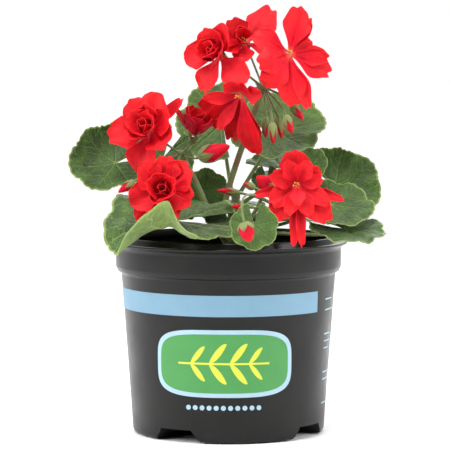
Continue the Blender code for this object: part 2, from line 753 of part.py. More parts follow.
def main():
    """Builds the potted geranium."""
    clear_scene()
    parts = make_collection("potted_geranium")
    helpers = make_collection("joined_pieces")
    plastic = make_material("black_plastic", (0.03, 0.03, 0.032), 0.45)
    mix = make_material("potting_mix", (0.03, 0.02, 0.013), 0.95)
    bark = make_material("stem", (0.13, 0.17, 0.05), 0.6)
    leaf_green = make_material("leaf", (0.07, 0.17, 0.035), 0.55)
    stalk_green = make_material("stalk", (0.16, 0.2, 0.06), 0.55)
    petal_red = make_material("petal", (0.75, 0.01, 0.02), 0.5)
    bud_red = make_material("bud", (0.5, 0.02, 0.03), 0.5)
    build_pot(parts, plastic)
    build_mix(parts, mix)
    build_stem(parts, helpers, bark)
    for name, leaf in LEAVES.items():
        build_leaf(name, leaf, parts, helpers, leaf_green)
    for name, points in STALKS.items():
        build_stalk(name, points, parts, stalk_green)
    for name, floret in FLORETS.items():
        build_floret(name, floret, parts, petal_red, stalk_green)
    for name, bud in BUDS.items():
        build_bud(name, bud, parts, bud_red)


main()
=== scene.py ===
"""A zonal geranium in a black nursery pot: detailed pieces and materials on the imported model.

Positions are in millimetres in the row's frame: +Z up, the printed side of the pot towards -Y.
"""

import functools
import math

import bmesh
import bpy
from mathutils import Matrix, Vector, noise


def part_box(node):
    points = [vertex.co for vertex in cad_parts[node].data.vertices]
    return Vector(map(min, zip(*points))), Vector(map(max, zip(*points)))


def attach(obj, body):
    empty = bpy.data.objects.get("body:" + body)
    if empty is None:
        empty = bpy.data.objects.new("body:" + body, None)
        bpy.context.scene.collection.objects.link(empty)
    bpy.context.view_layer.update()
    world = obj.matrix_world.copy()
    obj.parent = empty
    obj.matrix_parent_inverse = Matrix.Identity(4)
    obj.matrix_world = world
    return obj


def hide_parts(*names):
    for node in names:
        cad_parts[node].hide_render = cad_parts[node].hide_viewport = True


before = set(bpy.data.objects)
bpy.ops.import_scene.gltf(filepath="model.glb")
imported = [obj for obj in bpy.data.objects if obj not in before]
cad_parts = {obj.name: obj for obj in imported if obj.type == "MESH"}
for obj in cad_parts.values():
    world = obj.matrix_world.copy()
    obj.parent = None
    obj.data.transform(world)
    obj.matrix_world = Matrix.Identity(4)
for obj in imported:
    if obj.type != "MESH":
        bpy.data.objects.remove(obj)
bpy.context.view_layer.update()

bl_info = {
    "name": "Potted Geranium",
    "version": (1, 0, 0),
    "blender": (4, 5, 0),
    "location": "3D View > Sidebar > Geranium",
    "description": "Builds the detailed pieces of a potted geranium",
    "category": "Add Mesh",
}

MM = 0.001
GOLDEN_ANGLE = math.radians(137.5)


def linear(code):
    """An sRGB hex colour as linear RGB."""
    values = [int(code[k:k + 2], 16) / 255.0 for k in (1, 3, 5)]
    return tuple(v / 12.92 if v <= 0.04045 else ((v + 0.055) / 1.055) ** 2.4 for v in values)


def colour_property(name, description, code):
    """A colour that a user can change."""
    return bpy.props.FloatVectorProperty(
        name=name, description=description, subtype="COLOR", size=3, min=0.0, max=1.0,
        default=linear(code),
    )


# Layout

# Branches of the stem: control points and the radius at each end.
BRANCHES = [
    ([(0, 0, 100), (0, 0, 120), (0, 0, 146)], 5.0, 4.2),
    ([(0, 0, 134), (-6, -3, 141), (-12, -8, 150)], 4.2, 3.0),
    ([(0, 0, 132), (7, -2, 138), (15, -8, 146)], 4.2, 3.0),
    ([(0, 0, 136), (3, 7, 150), (6, 16, 168)], 4.2, 2.8),
]

# Leaves: junction of stalk and blade, way to the tip, way the face looks, radius, cup and fold in
# degrees, curls (angle round the blade, width and strength, in degrees), start of the stalk, and
# tone, from 0 for deep to 1 for fresh.
LEAVES = {
    "front_left": ((-36, -52, 152), (-1, -0.1, -0.1), (0.08, -0.5, 0.85), 52, 6, 0,
        [(66, 28, 95), (12, 26, -60), (120, 28, 20), (-95, 55, -35)],
        [(-11, -12, 143), (-18, -30, 142)], 0.2),
    "far_left": ((-79, -6, 189), (-1, -0.1, -0.2), (-0.15, -0.68, 0.72), 34, 22, 0,
        [(-75, 60, 65)], [(-14, -4, 151), (-40, -9, 175)], 0.1),
    "mid_left": ((-46, 14, 192), (-0.5, -0.2, -0.8), (-0.3, -0.9, 0.35), 27, 15, 0,
        [], [(-12, 2, 148), (-37, 17, 160)], 0.4),
    "back_left": ((-6, 46, 214), (-0.55, 0.2, 0.8), (-0.3, -0.85, 0.4), 34, 15, 0,
        [], [(3, 21, 164), (-2, 46, 186)], 0.4),
    "back_right": ((32, 18, 212), (1, -0.1, 0.2), (-0.05, -0.62, 0.78), 38, 12, 0,
        [], [(9, 16, 168), (20, 22, 186)], 0.8),
    "right_behind": ((39, 38, 183), (1, 0.15, 0.05), (0, -0.4, 0.9), 31, 10, 0,
        [], [(11, 20, 160), (24, 24, 168)], 0.4),
    "right_small": ((58, -20, 188), (0.45, -0.2, 0.8), (-0.35, -0.9, 0.25), 13, 25, 0,
        [], [(18, -3, 150), (44, -10, 166)], 0.6),
    "right_tall": ((75, -2, 173), (0.8, 0.1, -0.45), (0.15, -0.75, 0.6), 33, 8, 0,
        [(95, 50, 90)], [(20, -8, 149), (56, -8, 150)], 0.3),
    "right_low": ((71, -34, 161.5), (1, -0.05, -0.1), (0.1, -0.5, 0.85), 30, 8, 0,
        [], [(18, -14, 147), (40, -24, 151)], 0.2),
    "right_rim": ((80, -48, 146), (0.95, -0.3, -0.05), (0.08, -0.3, 0.95), 29, 5, 0,
        [], [(15, -15, 141), (40, -36, 142)], 0.2),
    "small_front": ((17, -86, 151), (0, -0.25, -0.95), (0, -0.9, 0.3), 18, 15, 0,
        [], [(5, -13, 141), (10, -50, 140), (15, -78, 150)], 0.8),
    "centre_light": ((-17, 8, 168), (0.15, -0.1, 1), (0.25, -0.95, 0.1), 17, 10, 18,
        [], [(-1, 9, 157), (-10, 11, 163)], 0.9),
    "centre_dark": ((0, -32, 152), (0.35, -0.8, -0.45), (0, -0.55, 0.85), 18, 10, 0,
        [], [(1, -8, 141), (1, -20, 143)], 0.1),
    "centre_back": ((27, -2, 177), (0.1, 0, -1), (-0.1, -1, 0.2), 12, 12, 0,
        [], [(14, 1, 148), (24, 2, 160)], 0.3),
    "rear": ((-4, 70, 158), (0.05, 1, 0.1), (0, 0.1, 1), 34, -12, 0,
        [], [(1, 11, 146), (-3, 40, 148)], 0.4),
    "rear_left": ((-48, 34, 150), (-0.8, 0.6, 0.05), (-0.1, 0.1, 1), 31, -12, 0,
        [], [(-8, 4, 142), (-28, 20, 142)], 0.3),
    "rear_right": ((49, 38, 150), (0.75, 0.65, 0.05), (0.1, 0.1, 1), 31, -12, 0,
        [], [(8, 4, 141), (28, 24, 142)], 0.5),
}

# Flower stalks: control points from the stem to the hub.
STALKS = {
    "flower_stalk_top": [(-4, -6, 148), (-3, -8, 170), (10, -8, 200), (23, -8, 239)],
    "flower_stalk_left": [(-14, -12, 154), (-20, -10, 172), (-32, -14, 193)],
    "flower_stalk_right": [(17, -12, 150), (24, -20, 156), (34, -32, 158)],
}

# Florets: hub, middle, way it faces, way of angle 0, then petals as the angle round the floret,
# length, width, rise from flat, curl along the petal and cup across it, in degrees and mm.
FLORETS = {
    "top_left": (
        "flower_stalk_top", (-6, -18, 264), (-0.6, -0.7, 0.3), (0, 0, 1),
        [(95, 25, 23, 22, 20, 0.3), (30, 21, 22, 35, 15, 0.3), (325, 24, 23, 25, 15, 0.3),
         (165, 27, 21, 5, -15, 0.25), (262, 20, 20, 40, 20, 0.3), (232, 31, 22, -4, -10, 0.25),
         (60, 17, 18, 52, 25, 0.5), (135, 17, 18, 50, 25, 0.5), (205, 16, 17, 58, 20, 0.5),
         (290, 15, 17, 60, 25, 0.5), (350, 15, 17, 62, 25, 0.5), (100, 11, 12, 74, 25, 0.7),
         (220, 10, 12, 76, 25, 0.7), (330, 10, 12, 78, 25, 0.7)],
    ),
    "top_back": (
        "flower_stalk_top", (12, 6, 272), (-0.2, -0.8, 0.5), (0.1, 0, 1),
        [(338, 32, 25, 2, 0, -0.12), (45, 20, 19, 22, 35, 0.35), (85, 20, 18, 30, 30, 0.4),
         (125, 19, 18, 18, 25, 0.3), (190, 18, 16, 14, 0, 0.2), (258, 27, 13, 5, -12, 0.35),
         (10, 14, 15, 55, 30, 0.5), (70, 13, 14, 62, 30, 0.6), (130, 12, 13, 60, 30, 0.6)],
    ),
    "top_right": (
        "flower_stalk_top", (42, -18, 265), (0.15, -0.95, 0.2), (0.1, 0, 1),
        [(350, 33, 20, 14, -10, 0.45), (336, 29, 12, 6, -5, 0.3), (66, 29, 17, 10, -45, 0.3),
         (120, 25, 22, 36, -52, -0.25), (148, 30, 21, 26, -46, -0.2), (182, 36, 22, 6, -18, 0.15),
         (205, 40, 12, 0, -8, 0.45), (252, 31, 19, 12, -26, 0.15), (268, 27, 15, 0, 6, 0.3),
         (305, 18, 15, -5, 0, 0.2)],
    ),
    "drooping": (
        "flower_stalk_top", (9, -28, 238), (-0.35, -0.85, -0.4), (0, 0, 1),
        [(96, 26, 10, 34, -20, 0.35), (112, 41, 20, -4, -16, 0.3), (132, 36, 17, 6, -8, 0.35),
         (145, 30, 9, 24, -6, 0.3), (160, 40, 18, 0, -10, 0.35), (176, 44, 20, -6, -10, 0.3),
         (188, 45, 16, 18, -24, 0.6), (30, 15, 14, 26, 10, 0.3), (330, 12, 13, 20, 20, 0.3),
         (270, 15, 14, 10, 0, 0.3)],
    ),
    "half_open": (
        "flower_stalk_left", (-24, -10, 209), (0.2, -0.25, 1), (0, -1, 0),
        [(0, 18, 17, 45, 25, 0.4), (60, 22, 15, 28, 45, 0.4), (110, 20, 13, 20, 55, 0.4),
         (160, 20, 16, 50, 10, 0.4), (216, 20, 15, 50, 15, 0.4), (270, 22, 14, 22, 50, 0.4),
         (315, 21, 15, 35, 35, 0.4), (36, 16, 13, 68, 10, 0.6), (100, 17, 13, 66, 10, 0.6),
         (180, 17, 12, 68, 10, 0.6), (252, 18, 12, 62, 10, 0.5)],
    ),
    "left": (
        "flower_stalk_left", (-54, -26, 212), (-0.35, -0.8, 0.45), (0, 0, 1),
        [(350, 27, 26, 15, 20, 0.2), (48, 26, 24, 14, 12, 0.25), (112, 29, 27, 8, 15, 0.3),
         (172, 30, 24, -10, -20, 0.4), (235, 24, 24, 12, 12, 0.3), (290, 22, 22, 20, 20, 0.3),
         (318, 31, 10, -8, 22, 0.5), (20, 19, 20, 40, 25, 0.5), (75, 19, 19, 42, 25, 0.5),
         (140, 19, 21, 34, 22, 0.5), (200, 18, 18, 44, 15, 0.5), (260, 17, 18, 48, 20, 0.5),
         (320, 16, 17, 50, 25, 0.6), (50, 12, 13, 66, 25, 0.7), (170, 11, 13, 68, 25, 0.7),
         (290, 11, 13, 70, 25, 0.7)],
    ),
    "front_left": (
        "flower_stalk_left", (-43, -61, 173), (-0.15, -0.97, 0.2), (0.1, 0, 1),
        [(5, 23, 23, 14, 12, 0.25), (58, 23, 22, 14, 12, 0.25), (112, 25, 24, 8, 8, 0.3),
         (150, 28, 23, 4, -8, 0.25), (205, 24, 21, 8, 0, 0.25), (258, 22, 23, 12, 12, 0.25),
         (312, 24, 24, 12, 14, 0.25), (30, 17, 18, 42, 25, 0.5), (88, 17, 17, 44, 25, 0.5),
         (170, 17, 17, 40, 15, 0.5), (238, 16, 17, 44, 25, 0.5), (300, 17, 18, 42, 25, 0.5),
         (0, 10, 11, 68, 25, 0.7), (120, 10, 11, 68, 25, 0.7), (240, 10, 11, 70, 25, 0.7)],
    ),
    "front_right": (
        "flower_stalk_right", (46, -64, 176), (0.05, -0.95, 0.25), (0, 0, 1),
        [(0, 24, 23, 10, 10, 0.35), (26, 20, 13, 36, 0, 0.6), (334, 20, 13, 36, 0, 0.6),
         (58, 19, 15, 18, 0, 0.3), (80, 17, 11, 28, -18, 0.3), (101, 30, 7, 3, 5, 0.45),
         (126, 22, 16, 18, -16, 0.25), (143, 29, 18, 8, -14, 0.25), (160, 23, 12, 34, -30, 0.2),
         (171, 42, 7, 8, -8, 0.5), (187, 42, 7, 8, -8, 0.5), (200, 24, 13, 32, -30, 0.2),
         (219, 32, 20, 8, -14, 0.25), (238, 25, 13, 22, -18, 0.3), (255, 33, 7, 3, 5, 0.45),
         (280, 18, 11, 28, -18, 0.3), (302, 19, 15, 18, 0, 0.3), (180, 17, 11, 48, -40, 0.1)],
    ),
}

# Buds: stalk that bears it, foot, tip, length, greatest radius, and share that the sepals cover.
BUDS = {
    "bud_left_large": ("flower_stalk_left", (-24, -24, 192), (1, -30, 202), 24, 6.8, 0.3),
    "bud_right_upper": ("flower_stalk_right", (30, -46, 174), (19, -49, 182), 15, 6.0, 0.1),
    "bud_right_lower": ("flower_stalk_right", (2, -98, 186), (14, -99, 141), 14, 6.0, 0.1),
    "bud_spear_left": ("flower_stalk_right", (20, -36, 168), (-8, -38, 172), 16, 2.6, 0.5),
    "bud_spear_right": ("flower_stalk_right", (22, -48, 160), (2, -58, 162), 13, 2.6, 0.5),
    "bud_green": ("flower_stalk_right", (26, -32, 170), (10, -30, 176), 9, 2.6, 1.0),
    "bud_behind_left": ("flower_stalk_left", (-52, -30, 186), (-76, -36, 170), 14, 3.2, 0.5),
    "bud_hanging_1": ("flower_stalk_top", (26, 8, 230), (26, 5, 206), 15, 2.9, 1.0),
    "bud_hanging_2": ("flower_stalk_top", (30, -22, 226), (31, -26, 203), 15, 3.1, 1.0),
    "bud_hanging_3": ("flower_stalk_top", (34, -10, 224), (37, -13, 206), 15, 3.0, 0.95),
    "bud_hanging_4": ("flower_stalk_top", (37, -20, 230), (44, -24, 210), 14, 3.4, 0.6),
    "bud_hanging_5": ("flower_stalk_top", (40, -10, 236), (52, -12, 219), 15, 3.5, 0.6),
}

# Pot: closed section outside from the collar down, then inside back up, as radius and height.
POT_SECTION = [
    (74.75, 138), (75.5, 137.4), (76.3, 133.7), (78, 133.5), (82.7, 134.5), (83.5, 134.0),
    (83.2, 132.8), (80.6, 131.5), (79.4, 130.5), (79, 129), (79, 117), (77.8, 113.8),
    (76, 113), (75.1, 111.5), (67.2, 3), (66.6, 1.4), (65.8, 0.8), (26, 0.8), (0, 0.8),
    (0, 2.3), (26, 2.3), (64.7, 2.3), (65.8, 4), (73.6, 114.5), (77.5, 117), (77.5, 130),
    (74, 132.5), (74, 137.4),
]
CHANNEL_TURNS = (-33, 57, 147, 237)
CHANNEL_HEIGHT = 9.0
DRAIN_RING, DRAIN_RADIUS = 48.0, 3.5
PAD_RING, PAD_TURNS = 62.8, (-12.5, 12.5)
SHARP_TURN = math.radians(14.0)

# Mesh tools


def start_mesh():
    """An empty mesh in the making, with a place on each point for the pattern of its surface."""
    work = bmesh.new()
    work.verts.layers.float_vector.new("pattern")
    return work


def surface(work, columns, rows, place, material=0, closed=False):
    """A grid whose points go where place(across, along) says, both running from 0 to 1."""
    layer = work.verts.layers.float_vector["pattern"]
    made = bmesh.ops.create_grid(work, x_segments=columns, y_segments=rows, size=1.0)["verts"]
    faces = list({face for vertex in made for face in vertex.link_faces})
    for face in faces:
        face.material_index = material
    for vertex in made:
        spot, pattern = place((vertex.co.x + 1.0) / 2.0, (vertex.co.y + 1.0) / 2.0)
        vertex.co = spot * MM
        vertex[layer] = pattern
    bmesh.ops.remove_doubles(work, verts=made, dist=1e-6)
    if closed:
        faces = [face for face in faces if face.is_valid]
        bmesh.ops.recalc_face_normals(work, faces=faces)


def smooth_path(points, count):
    """Points along the Bezier curve of any number of control points."""
    controls = [Vector(point) for point in points]
    path = []
    for step in range(count):
        level = controls
        while len(level) > 1:
            level = [a.lerp(b, step / (count - 1)) for a, b in zip(level, level[1:])]
        path.append(level[0])
    return path


def travel(path):
    """Frames along a path: place, side and across, turned as little as possible, and length."""
    frames = []
    side = (path[1] - path[0]).orthogonal().normalized()
    length = 0.0
    for number, place in enumerate(path):
        ahead = path[min(number + 1, len(path) - 1)] - path[max(number - 1, 0)]
        way = ahead.normalized()
        side = (side - way * side.dot(way)).normalized()
        if number:
            length += (place - path[number - 1]).length
        frames.append((place, side, way.cross(side), length))
    return frames


def add_tube(work, path, radius, sides=12, material=0, rows=None, ripple=None):
    """A closed tube along a path. radius(share) gives its radius, and ripple its unevenness."""
    frames = travel(path)
    rows = rows or len(path) - 1

    def place(across, along):
        level = min(max((along * (rows + 2) - 1.0) / rows, 0.0), 1.0)
        spot = level * (len(frames) - 1)
        first = min(int(spot), len(frames) - 2)
        share = spot - first
        a, b = frames[first], frames[first + 1]
        angle = 2.0 * math.pi * across
        size = radius(level)
        if ripple:
            size *= 1.0 + ripple(level, angle)
        if along <= 0.0 or along >= 1.0:
            size = 0.0
        side = a[1].lerp(b[1], share) * math.cos(angle) + a[2].lerp(b[2], share) * math.sin(angle)
        length = a[3] + (b[3] - a[3]) * share
        return a[0].lerp(b[0], share) + side * size, (math.cos(angle), length, math.sin(angle))

    surface(work, sides, rows + 2, place, material, closed=True)


def add_turned(work, foot, way, profile, sides=24, material=0, ripple=None):
    """A closed turned body: profile gives each point's distance along way and its radius."""
    side = way.orthogonal().normalized()
    across_way = way.cross(side)
    rows = len(profile) - 1

    def place(across, along):
        step = min(max(round(along * rows), 0), rows)
        distance, size = profile[step]
        angle = 2.0 * math.pi * across
        if ripple:
            size *= 1.0 + ripple(along, angle)
        spot = side * math.cos(angle) + across_way * math.sin(angle)
        pattern = (math.cos(angle), step / rows, math.sin(angle))
        return foot + way * distance + spot * size, pattern

    surface(work, sides, rows, place, material, closed=True)


def evaluated(mesh, modifiers):
    """A mesh as the modifiers that modifiers(holder) adds leave it."""
    holder = bpy.data.objects.new("holder", mesh)
    bpy.context.scene.collection.objects.link(holder)
    modifiers(holder)
    graph = bpy.context.evaluated_depsgraph_get()
    result = bpy.data.meshes.new_from_object(holder.evaluated_get(graph))
    bpy.data.objects.remove(holder)
    return result


def thicken(work, thickness, material=None):
    """Gives a sheet its thickness, in one material or with the next one on its underside."""
    mesh = bpy.data.meshes.new("sheet")
    work.to_mesh(mesh)
    for _ in range(2):
        mesh.materials.append(None)

    def wall(holder):
        solid = holder.modifiers.new("thickness", "SOLIDIFY")
        solid.thickness = thickness * MM
        solid.offset = 0.0
        solid.material_offset = 1

    result = evaluated(mesh, wall)
    work.clear()
    work.from_mesh(result)
    for unused in (mesh, result):
        bpy.data.meshes.remove(unused)
    if material is not None:
        for face in work.faces:
            face.material_index = material


def finish_piece(name, work, materials, nodes=(), sharp=50.0):
    """Makes a mesh in the making a piece that stands for some CAD nodes."""
    mesh = bpy.data.meshes.new(name)
    work.to_mesh(mesh)
    work.free()
    for material in materials:
        mesh.materials.append(material)
    mesh.shade_smooth()
    mesh.set_sharp_from_angle(angle=math.radians(sharp))
    piece = bpy.data.objects.new(name, mesh)
    bpy.context.scene.collection.objects.link(piece)
    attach(piece, "root")
    if nodes:
        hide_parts(*nodes)
    return piece


def axes_of(forward, face):
    """Unit axes of a flat thing: towards its tip, to its left and out of its face."""
    out = Vector(face).normalized()
    tip = Vector(forward)
    tip = (tip - out * tip.dot(out)).normalized()
    return tip, out.cross(tip), out


def bent(length, start, bend):
    """Way forward and lift of a strip that starts at a slope and bends by an angle."""
    if abs(bend) < 1e-4:
        return length * math.cos(start), length * math.sin(start)
    forward = (math.sin(start + bend) - math.sin(start)) / bend
    lift = (math.cos(start) - math.cos(start + bend)) / bend
    return length * forward, length * lift


def ring(way, count, start=0.0, step=None):
    """Directions square to way, one after another round it."""
    side = way.orthogonal().normalized()
    step = step or 2.0 * math.pi / count
    for number in range(count):
        angle = number * step + start
        yield side * math.cos(angle) + way.cross(side) * math.sin(angle)


def ease(low, high, value):
    """A smooth step from 0 at low to 1 at high."""
    share = min(max((value - low) / (high - low), 0.0), 1.0)
    return share * share * (3.0 - 2.0 * share)


def grain(x, y, z):
    """Smooth noise from -1 to 1 that is the same each time."""
    return noise.noise(Vector((x, y, z)))


# Materials


# Nodes used again and again: kind, the inputs that values go to in order, the output that is
# read, and the settings. Any other name is an operation of a Math node.
NODES = {
    "PLACE": ("TexCoord", (), "Object", {}),
    "WAY": ("TexCoord", (), "Generated", {}),
    "PATTERN": ("Attribute", (), "Vector", {"attribute_name": "pattern"}),
    "CAMERA_RAY": ("LightPath", (), "Is Camera Ray", {}),
    "LENGTH": ("VectorMath", (0,), "Value", {"operation": "LENGTH"}),
    "JOIN": ("CombineXYZ", (0, 1, 2), 0, {}),
    "SPLIT": ("SeparateXYZ", (0,), None, {}),
    "RANGE": ("MapRange", (0, 1, 2, 3, 4), 0, {"interpolation_type": "SMOOTHSTEP"}),
    "MIX": ("Mix", (0, 6, 7), 2, {"data_type": "RGBA"}),
    "NOISE": ("TexNoise", ("Vector", "Scale", "Detail", "Roughness"), 0, {}),
    "CELLS": ("TexVoronoi", ("Vector", "Scale"), 0, {}),
    "NET": ("TexVoronoi", ("Vector", "Scale"), 0, {"feature": "DISTANCE_TO_EDGE"}),
    "WAVE": ("TexWave", ("Vector", "Scale", "Distortion", "Detail"), 1, {}),
    "BUMP": ("Bump", ("Height", "Distance", "Strength"), 0, {}),
}
NOISE_ROUGHNESS = 0.55


def fill(made, inputs):
    """Fills a node's inputs with values or with other nodes' outputs."""
    for key, value in inputs.items():
        if isinstance(value, bpy.types.NodeSocket):
            made.id_data.links.new(value, made.inputs[key])
        else:
            made.inputs[key].default_value = value


def add_node(tree, name, *values):
    """Adds a node with its settings and links, and returns the output that is read."""
    kind, keys, read, settings = NODES.get(name, ("Math", (0, 1), 0, {"operation": name}))
    made = tree.nodes.new("ShaderNode" + kind)
    for key, value in settings.items():
        setattr(made, key, value)
    if name == "NOISE":
        made.inputs["Roughness"].default_value = NOISE_ROUGHNESS
    fill(made, dict(zip(keys, values)))
    return made.outputs if read is None else made.outputs[read]


def new_material(name, **constants):
    """A Principled material with its constants on the shader's own sockets."""
    material = bpy.data.materials.new(name)
    material.use_nodes = True
    shader = material.node_tree.nodes["Principled BSDF"]
    for key, value in constants.items():
        key = key.replace("_", " ").title().replace("Ior", "IOR")
        shader.inputs[key].default_value = value
    return material, shader, functools.partial(add_node, material.node_tree)


def rgba(colour, share=1.0):
    """A colour, or a share of it, with full cover."""
    return (*(channel * share for channel in colour), 1.0)


def moulded_plastic(name, colour, gloss):
    """Thin moulded polypropylene: satin black, faintly mottled, with a soft wide sheen."""
    material, shader, add = new_material(name, specular_ior_level=0.25)
    where = add("PLACE")
    mottle = add("NOISE", where, 60.0, 5.0)
    cloudy = add("NOISE", where, 35.0, 4.0)
    fine = add("MULTIPLY", add("NOISE", where, 900.0, 2.0), 0.12)
    relief = add("ADD", fine, add("NOISE", where, 45.0, 1.0))
    fill(shader, {
        "Base Color": add("MIX", add("RANGE", mottle, 0.35, 0.7), rgba(colour), rgba(colour, 1.5)),
        "Roughness": add("RANGE", cloudy, 0.3, 0.7, gloss - 0.05, gloss + 0.07),
        "Normal": add("BUMP", relief, 0.00025, 0.55),
    })
    return material


def printing_ink(name, colour, rough):
    """Screen ink on plastic: flat and matt, thinner in places so that a little black shows."""
    material, shader, add = new_material(name, roughness=rough)
    where = add("PLACE")
    thin = add("RANGE", add("NOISE", where, 700.0, 3.0), 0.62, 0.85, 0.0, 0.14)
    broad = add("RANGE", add("NOISE", where, 70.0, 3.0), 0.3, 0.75, 0.0, 0.10)
    fill(shader, {
        "Base Color": add("MIX", add("ADD", thin, broad), rgba(colour), rgba(colour, 0.45)),
        "Normal": add("BUMP", add("NOISE", where, 1500.0, 2.0), 0.00006, 0.6),
    })
    return material


def peat_mix(name, dark, light):
    """Potting mix: crumbly dark peat with paler fibres, nearly black in the hollows of its relief."""
    material, shader, add = new_material(name, roughness=0.92)
    where = add("PLACE")
    clumps = add("NOISE", where, 110.0, 6.0, 0.7)
    fibre = add("RANGE", add("WAVE", where, 160.0, 18.0, 3.0), 0.93, 1.0, 0.0, 0.5)
    # The clumps noise sets both colour and relief: the mix is darkest where its relief is lowest.
    tint = add("MIX", add("RANGE", clumps, 0.35, 0.65), rgba(dark), rgba(light))
    crumbs = add("MULTIPLY", add("CELLS", where, 480.0), 0.5)
    fill(shader, {
        "Base Color": add("MIX", fibre, tint, rgba(light, 2.6)),
        "Normal": add("BUMP", add("SUBTRACT", clumps, crumbs), 0.002, 0.9),
    })
    return material


def green_stem(name, colour, blush, woody):
    """Living stem: ribbed and downy, blushed in places, barky where woody is near 1."""
    material, shader, add = new_material(
        name, sheen_weight=0.35, sheen_roughness=0.45, subsurface_weight=0.08,
        subsurface_radius=(0.0012, 0.0016, 0.0006))
    where = add("PLACE")
    cosine, along, sine = add("SPLIT", add("PATTERN"))
    ribs = add("COSINE", add("MULTIPLY", add("ARCTAN2", sine, cosine), 5.0))
    patches = add("NOISE", where, 90.0, 4.0)
    strands = add("JOIN", add("MULTIPLY", cosine, 5.0), add("MULTIPLY", along, 0.25),
                  add("MULTIPLY", sine, 5.0))
    streaks = add("NOISE", strands, 1.0, 4.0)
    tint = add("MIX", add("RANGE", patches, 0.4, 0.7), rgba(colour), rgba(blush))
    dark = add("RANGE", streaks, 0.5, 0.75, 0.0, 0.35 + 0.5 * woody)
    down = add("MULTIPLY", add("NOISE", where, 2600.0, 1.0), 0.4)
    relief = add("ADD", add("MULTIPLY", ribs, 0.35), down)
    relief = add("ADD", relief, add("MULTIPLY", streaks, 0.6 + 1.5 * woody))
    fill(shader, {
        "Base Color": add("MIX", dark, tint, rgba(colour, 0.55)),
        "Roughness": add("RANGE", patches, 0.3, 0.7, 0.45, 0.68),
        "Normal": add("BUMP", relief, 0.0003, 0.8),
    })
    return material


def leaf_blade(name, deep, fresh, vein, edge_sheen, underside=False):
    """Leaf tissue: seven palmate veins, forked side veins and a fine net between quilted cells, with a
    painted highlight along the margin for the light that its hairs catch.
    """
    material, shader, add = new_material(
        name, sheen_weight=0.12 if underside else 0.05, sheen_roughness=0.4,
        specular_ior_level=0.4, subsurface_weight=0.10,
        subsurface_radius=(0.0008, 0.0016, 0.0003))
    where, whole = add("PLACE"), add("PATTERN")
    x, y, reach = add("SPLIT", whole)
    wobble = add("MULTIPLY", add("SUBTRACT", add("NOISE", whole, 5.0, 2.0), 0.5), 0.35)
    angle = add("ADD", add("ARCTAN2", y, x), add("MULTIPLY", wobble, 0.5))
    # Seven main veins that taper outwards, and side veins that leave them in chevrons.
    aside = add("MULTIPLY", add("PINGPONG", angle, math.pi / 7.0), reach)
    width = add("SUBTRACT", 0.026, add("MULTIPLY", reach, 0.018))
    main = add("RANGE", add("DIVIDE", aside, width), 0.25, 1.0, 1.0, 0.0)
    chevron = add("SUBTRACT", reach, add("MULTIPLY", aside, 1.35))
    chevron = add("ADD", chevron, add("MULTIPLY", wobble, 0.25))
    side = add("RANGE", add("PINGPONG", chevron, 0.085), 0.004, 0.016, 1.0, 0.0)
    side = add("MULTIPLY", side, add("RANGE", chevron, 0.05, 0.25))
    net = add("NET", whole, 17.0)
    fine = add("RANGE", net, 0.01, 0.09, 0.22, 0.0)
    lines = add("MAXIMUM", add("MAXIMUM", main, add("MULTIPLY", side, 0.7)), fine)
    patches = add("RANGE", add("NOISE", whole, 2.6, 4.0), 0.35, 0.68)
    zone = add("MULTIPLY", add("RANGE", reach, 0.42, 0.56), add("RANGE", reach, 0.80, 0.62))
    # Painted highlight: edge marks the margin, which is painted pale for the light that the margin's hairs
    # catch.
    edge = add("ADD", reach, add("MULTIPLY", wobble, 0.04))
    tint = add("MIX", patches, rgba(deep), rgba(fresh))
    for share, colour in (
        (add("MULTIPLY", zone, 0.35), rgba(deep, 0.55)),
        (add("MULTIPLY", lines, 0.62), rgba(vein)),
        (add("RANGE", edge, 0.95, 0.985, 0.0, 0.6), rgba(edge_sheen)),
        (add("RANGE", add("NOISE", where, 500.0, 2.0), 0.4, 0.7, 0.0, 0.22), rgba(deep, 0.75)),
    ):
        tint = add("MIX", share, tint, colour)
    veins = add("MAXIMUM", main, add("MULTIPLY", side, 0.6))
    relief = add("MULTIPLY", veins, 0.9 if underside else -0.9)
    relief = add("ADD", relief, add("RANGE", net, 0.0, 0.35, 0.0, 0.45))
    relief = add("ADD", relief, add("MULTIPLY", add("NOISE", where, 1500.0, 2.0), 0.25))
    fill(shader, {
        "Base Color": tint,
        "Roughness": add("RANGE", add("NOISE", whole, 9.0, 3.0), 0.3, 0.7, 0.42, 0.60),
        "Normal": add("BUMP", relief, 0.00055, 0.85),
    })
    return material


def petal_skin(name, heart, body, tip, shadow):
    """Petal: velvety and translucent, finely veined from claw to tip, paler at its heart, and shifting from
    body to tip colour along its length as a painted highlight towards the tip.
    """
    material, shader, add = new_material(
        name, sheen_weight=0.10, sheen_roughness=0.5, sheen_tint=rgba(tip),
        specular_ior_level=0.16, subsurface_weight=0.25,
        subsurface_radius=(0.0024, 0.0005, 0.0004))
    where = add("PLACE")
    across, along, shade = add("SPLIT", add("PATTERN"))
    fan = add("JOIN", add("MULTIPLY", across, 9.0), add("MULTIPLY", along, 1.4), shade)
    veins = add("NOISE", fan, 2.0, 4.0, 0.6)
    patches = add("NOISE", where, 130.0, 4.0)
    # Painted light: the red goes from body to tip along the petal, a painted highlight on the outer petals
    # and painted shade towards the floret's middle.
    tint = add("MIX", add("RANGE", along, 0.25, 0.95), rgba(body), rgba(tip))
    for share, colour in (
        (add("RANGE", along, 0.16, 0.02, 0.0, 0.7), heart),
        (add("RANGE", veins, 0.45, 0.72, 0.0, 0.38), shadow),
        (add("RANGE", patches, 0.42, 0.72, 0.0, 0.30), shadow),
        (add("RANGE", shade, 0.0, 1.0, 0.0, 0.22), shadow),
    ):
        tint = add("MIX", share, tint, rgba(colour))
    relief = add("ADD", veins, add("MULTIPLY", add("NOISE", where, 2200.0, 1.0), 0.15))
    fill(shader, {
        "Base Color": tint,
        "Roughness": add("RANGE", patches, 0.3, 0.7, 0.42, 0.6),
        "Normal": add("BUMP", relief, 0.0005, 0.6),
    })
    return material


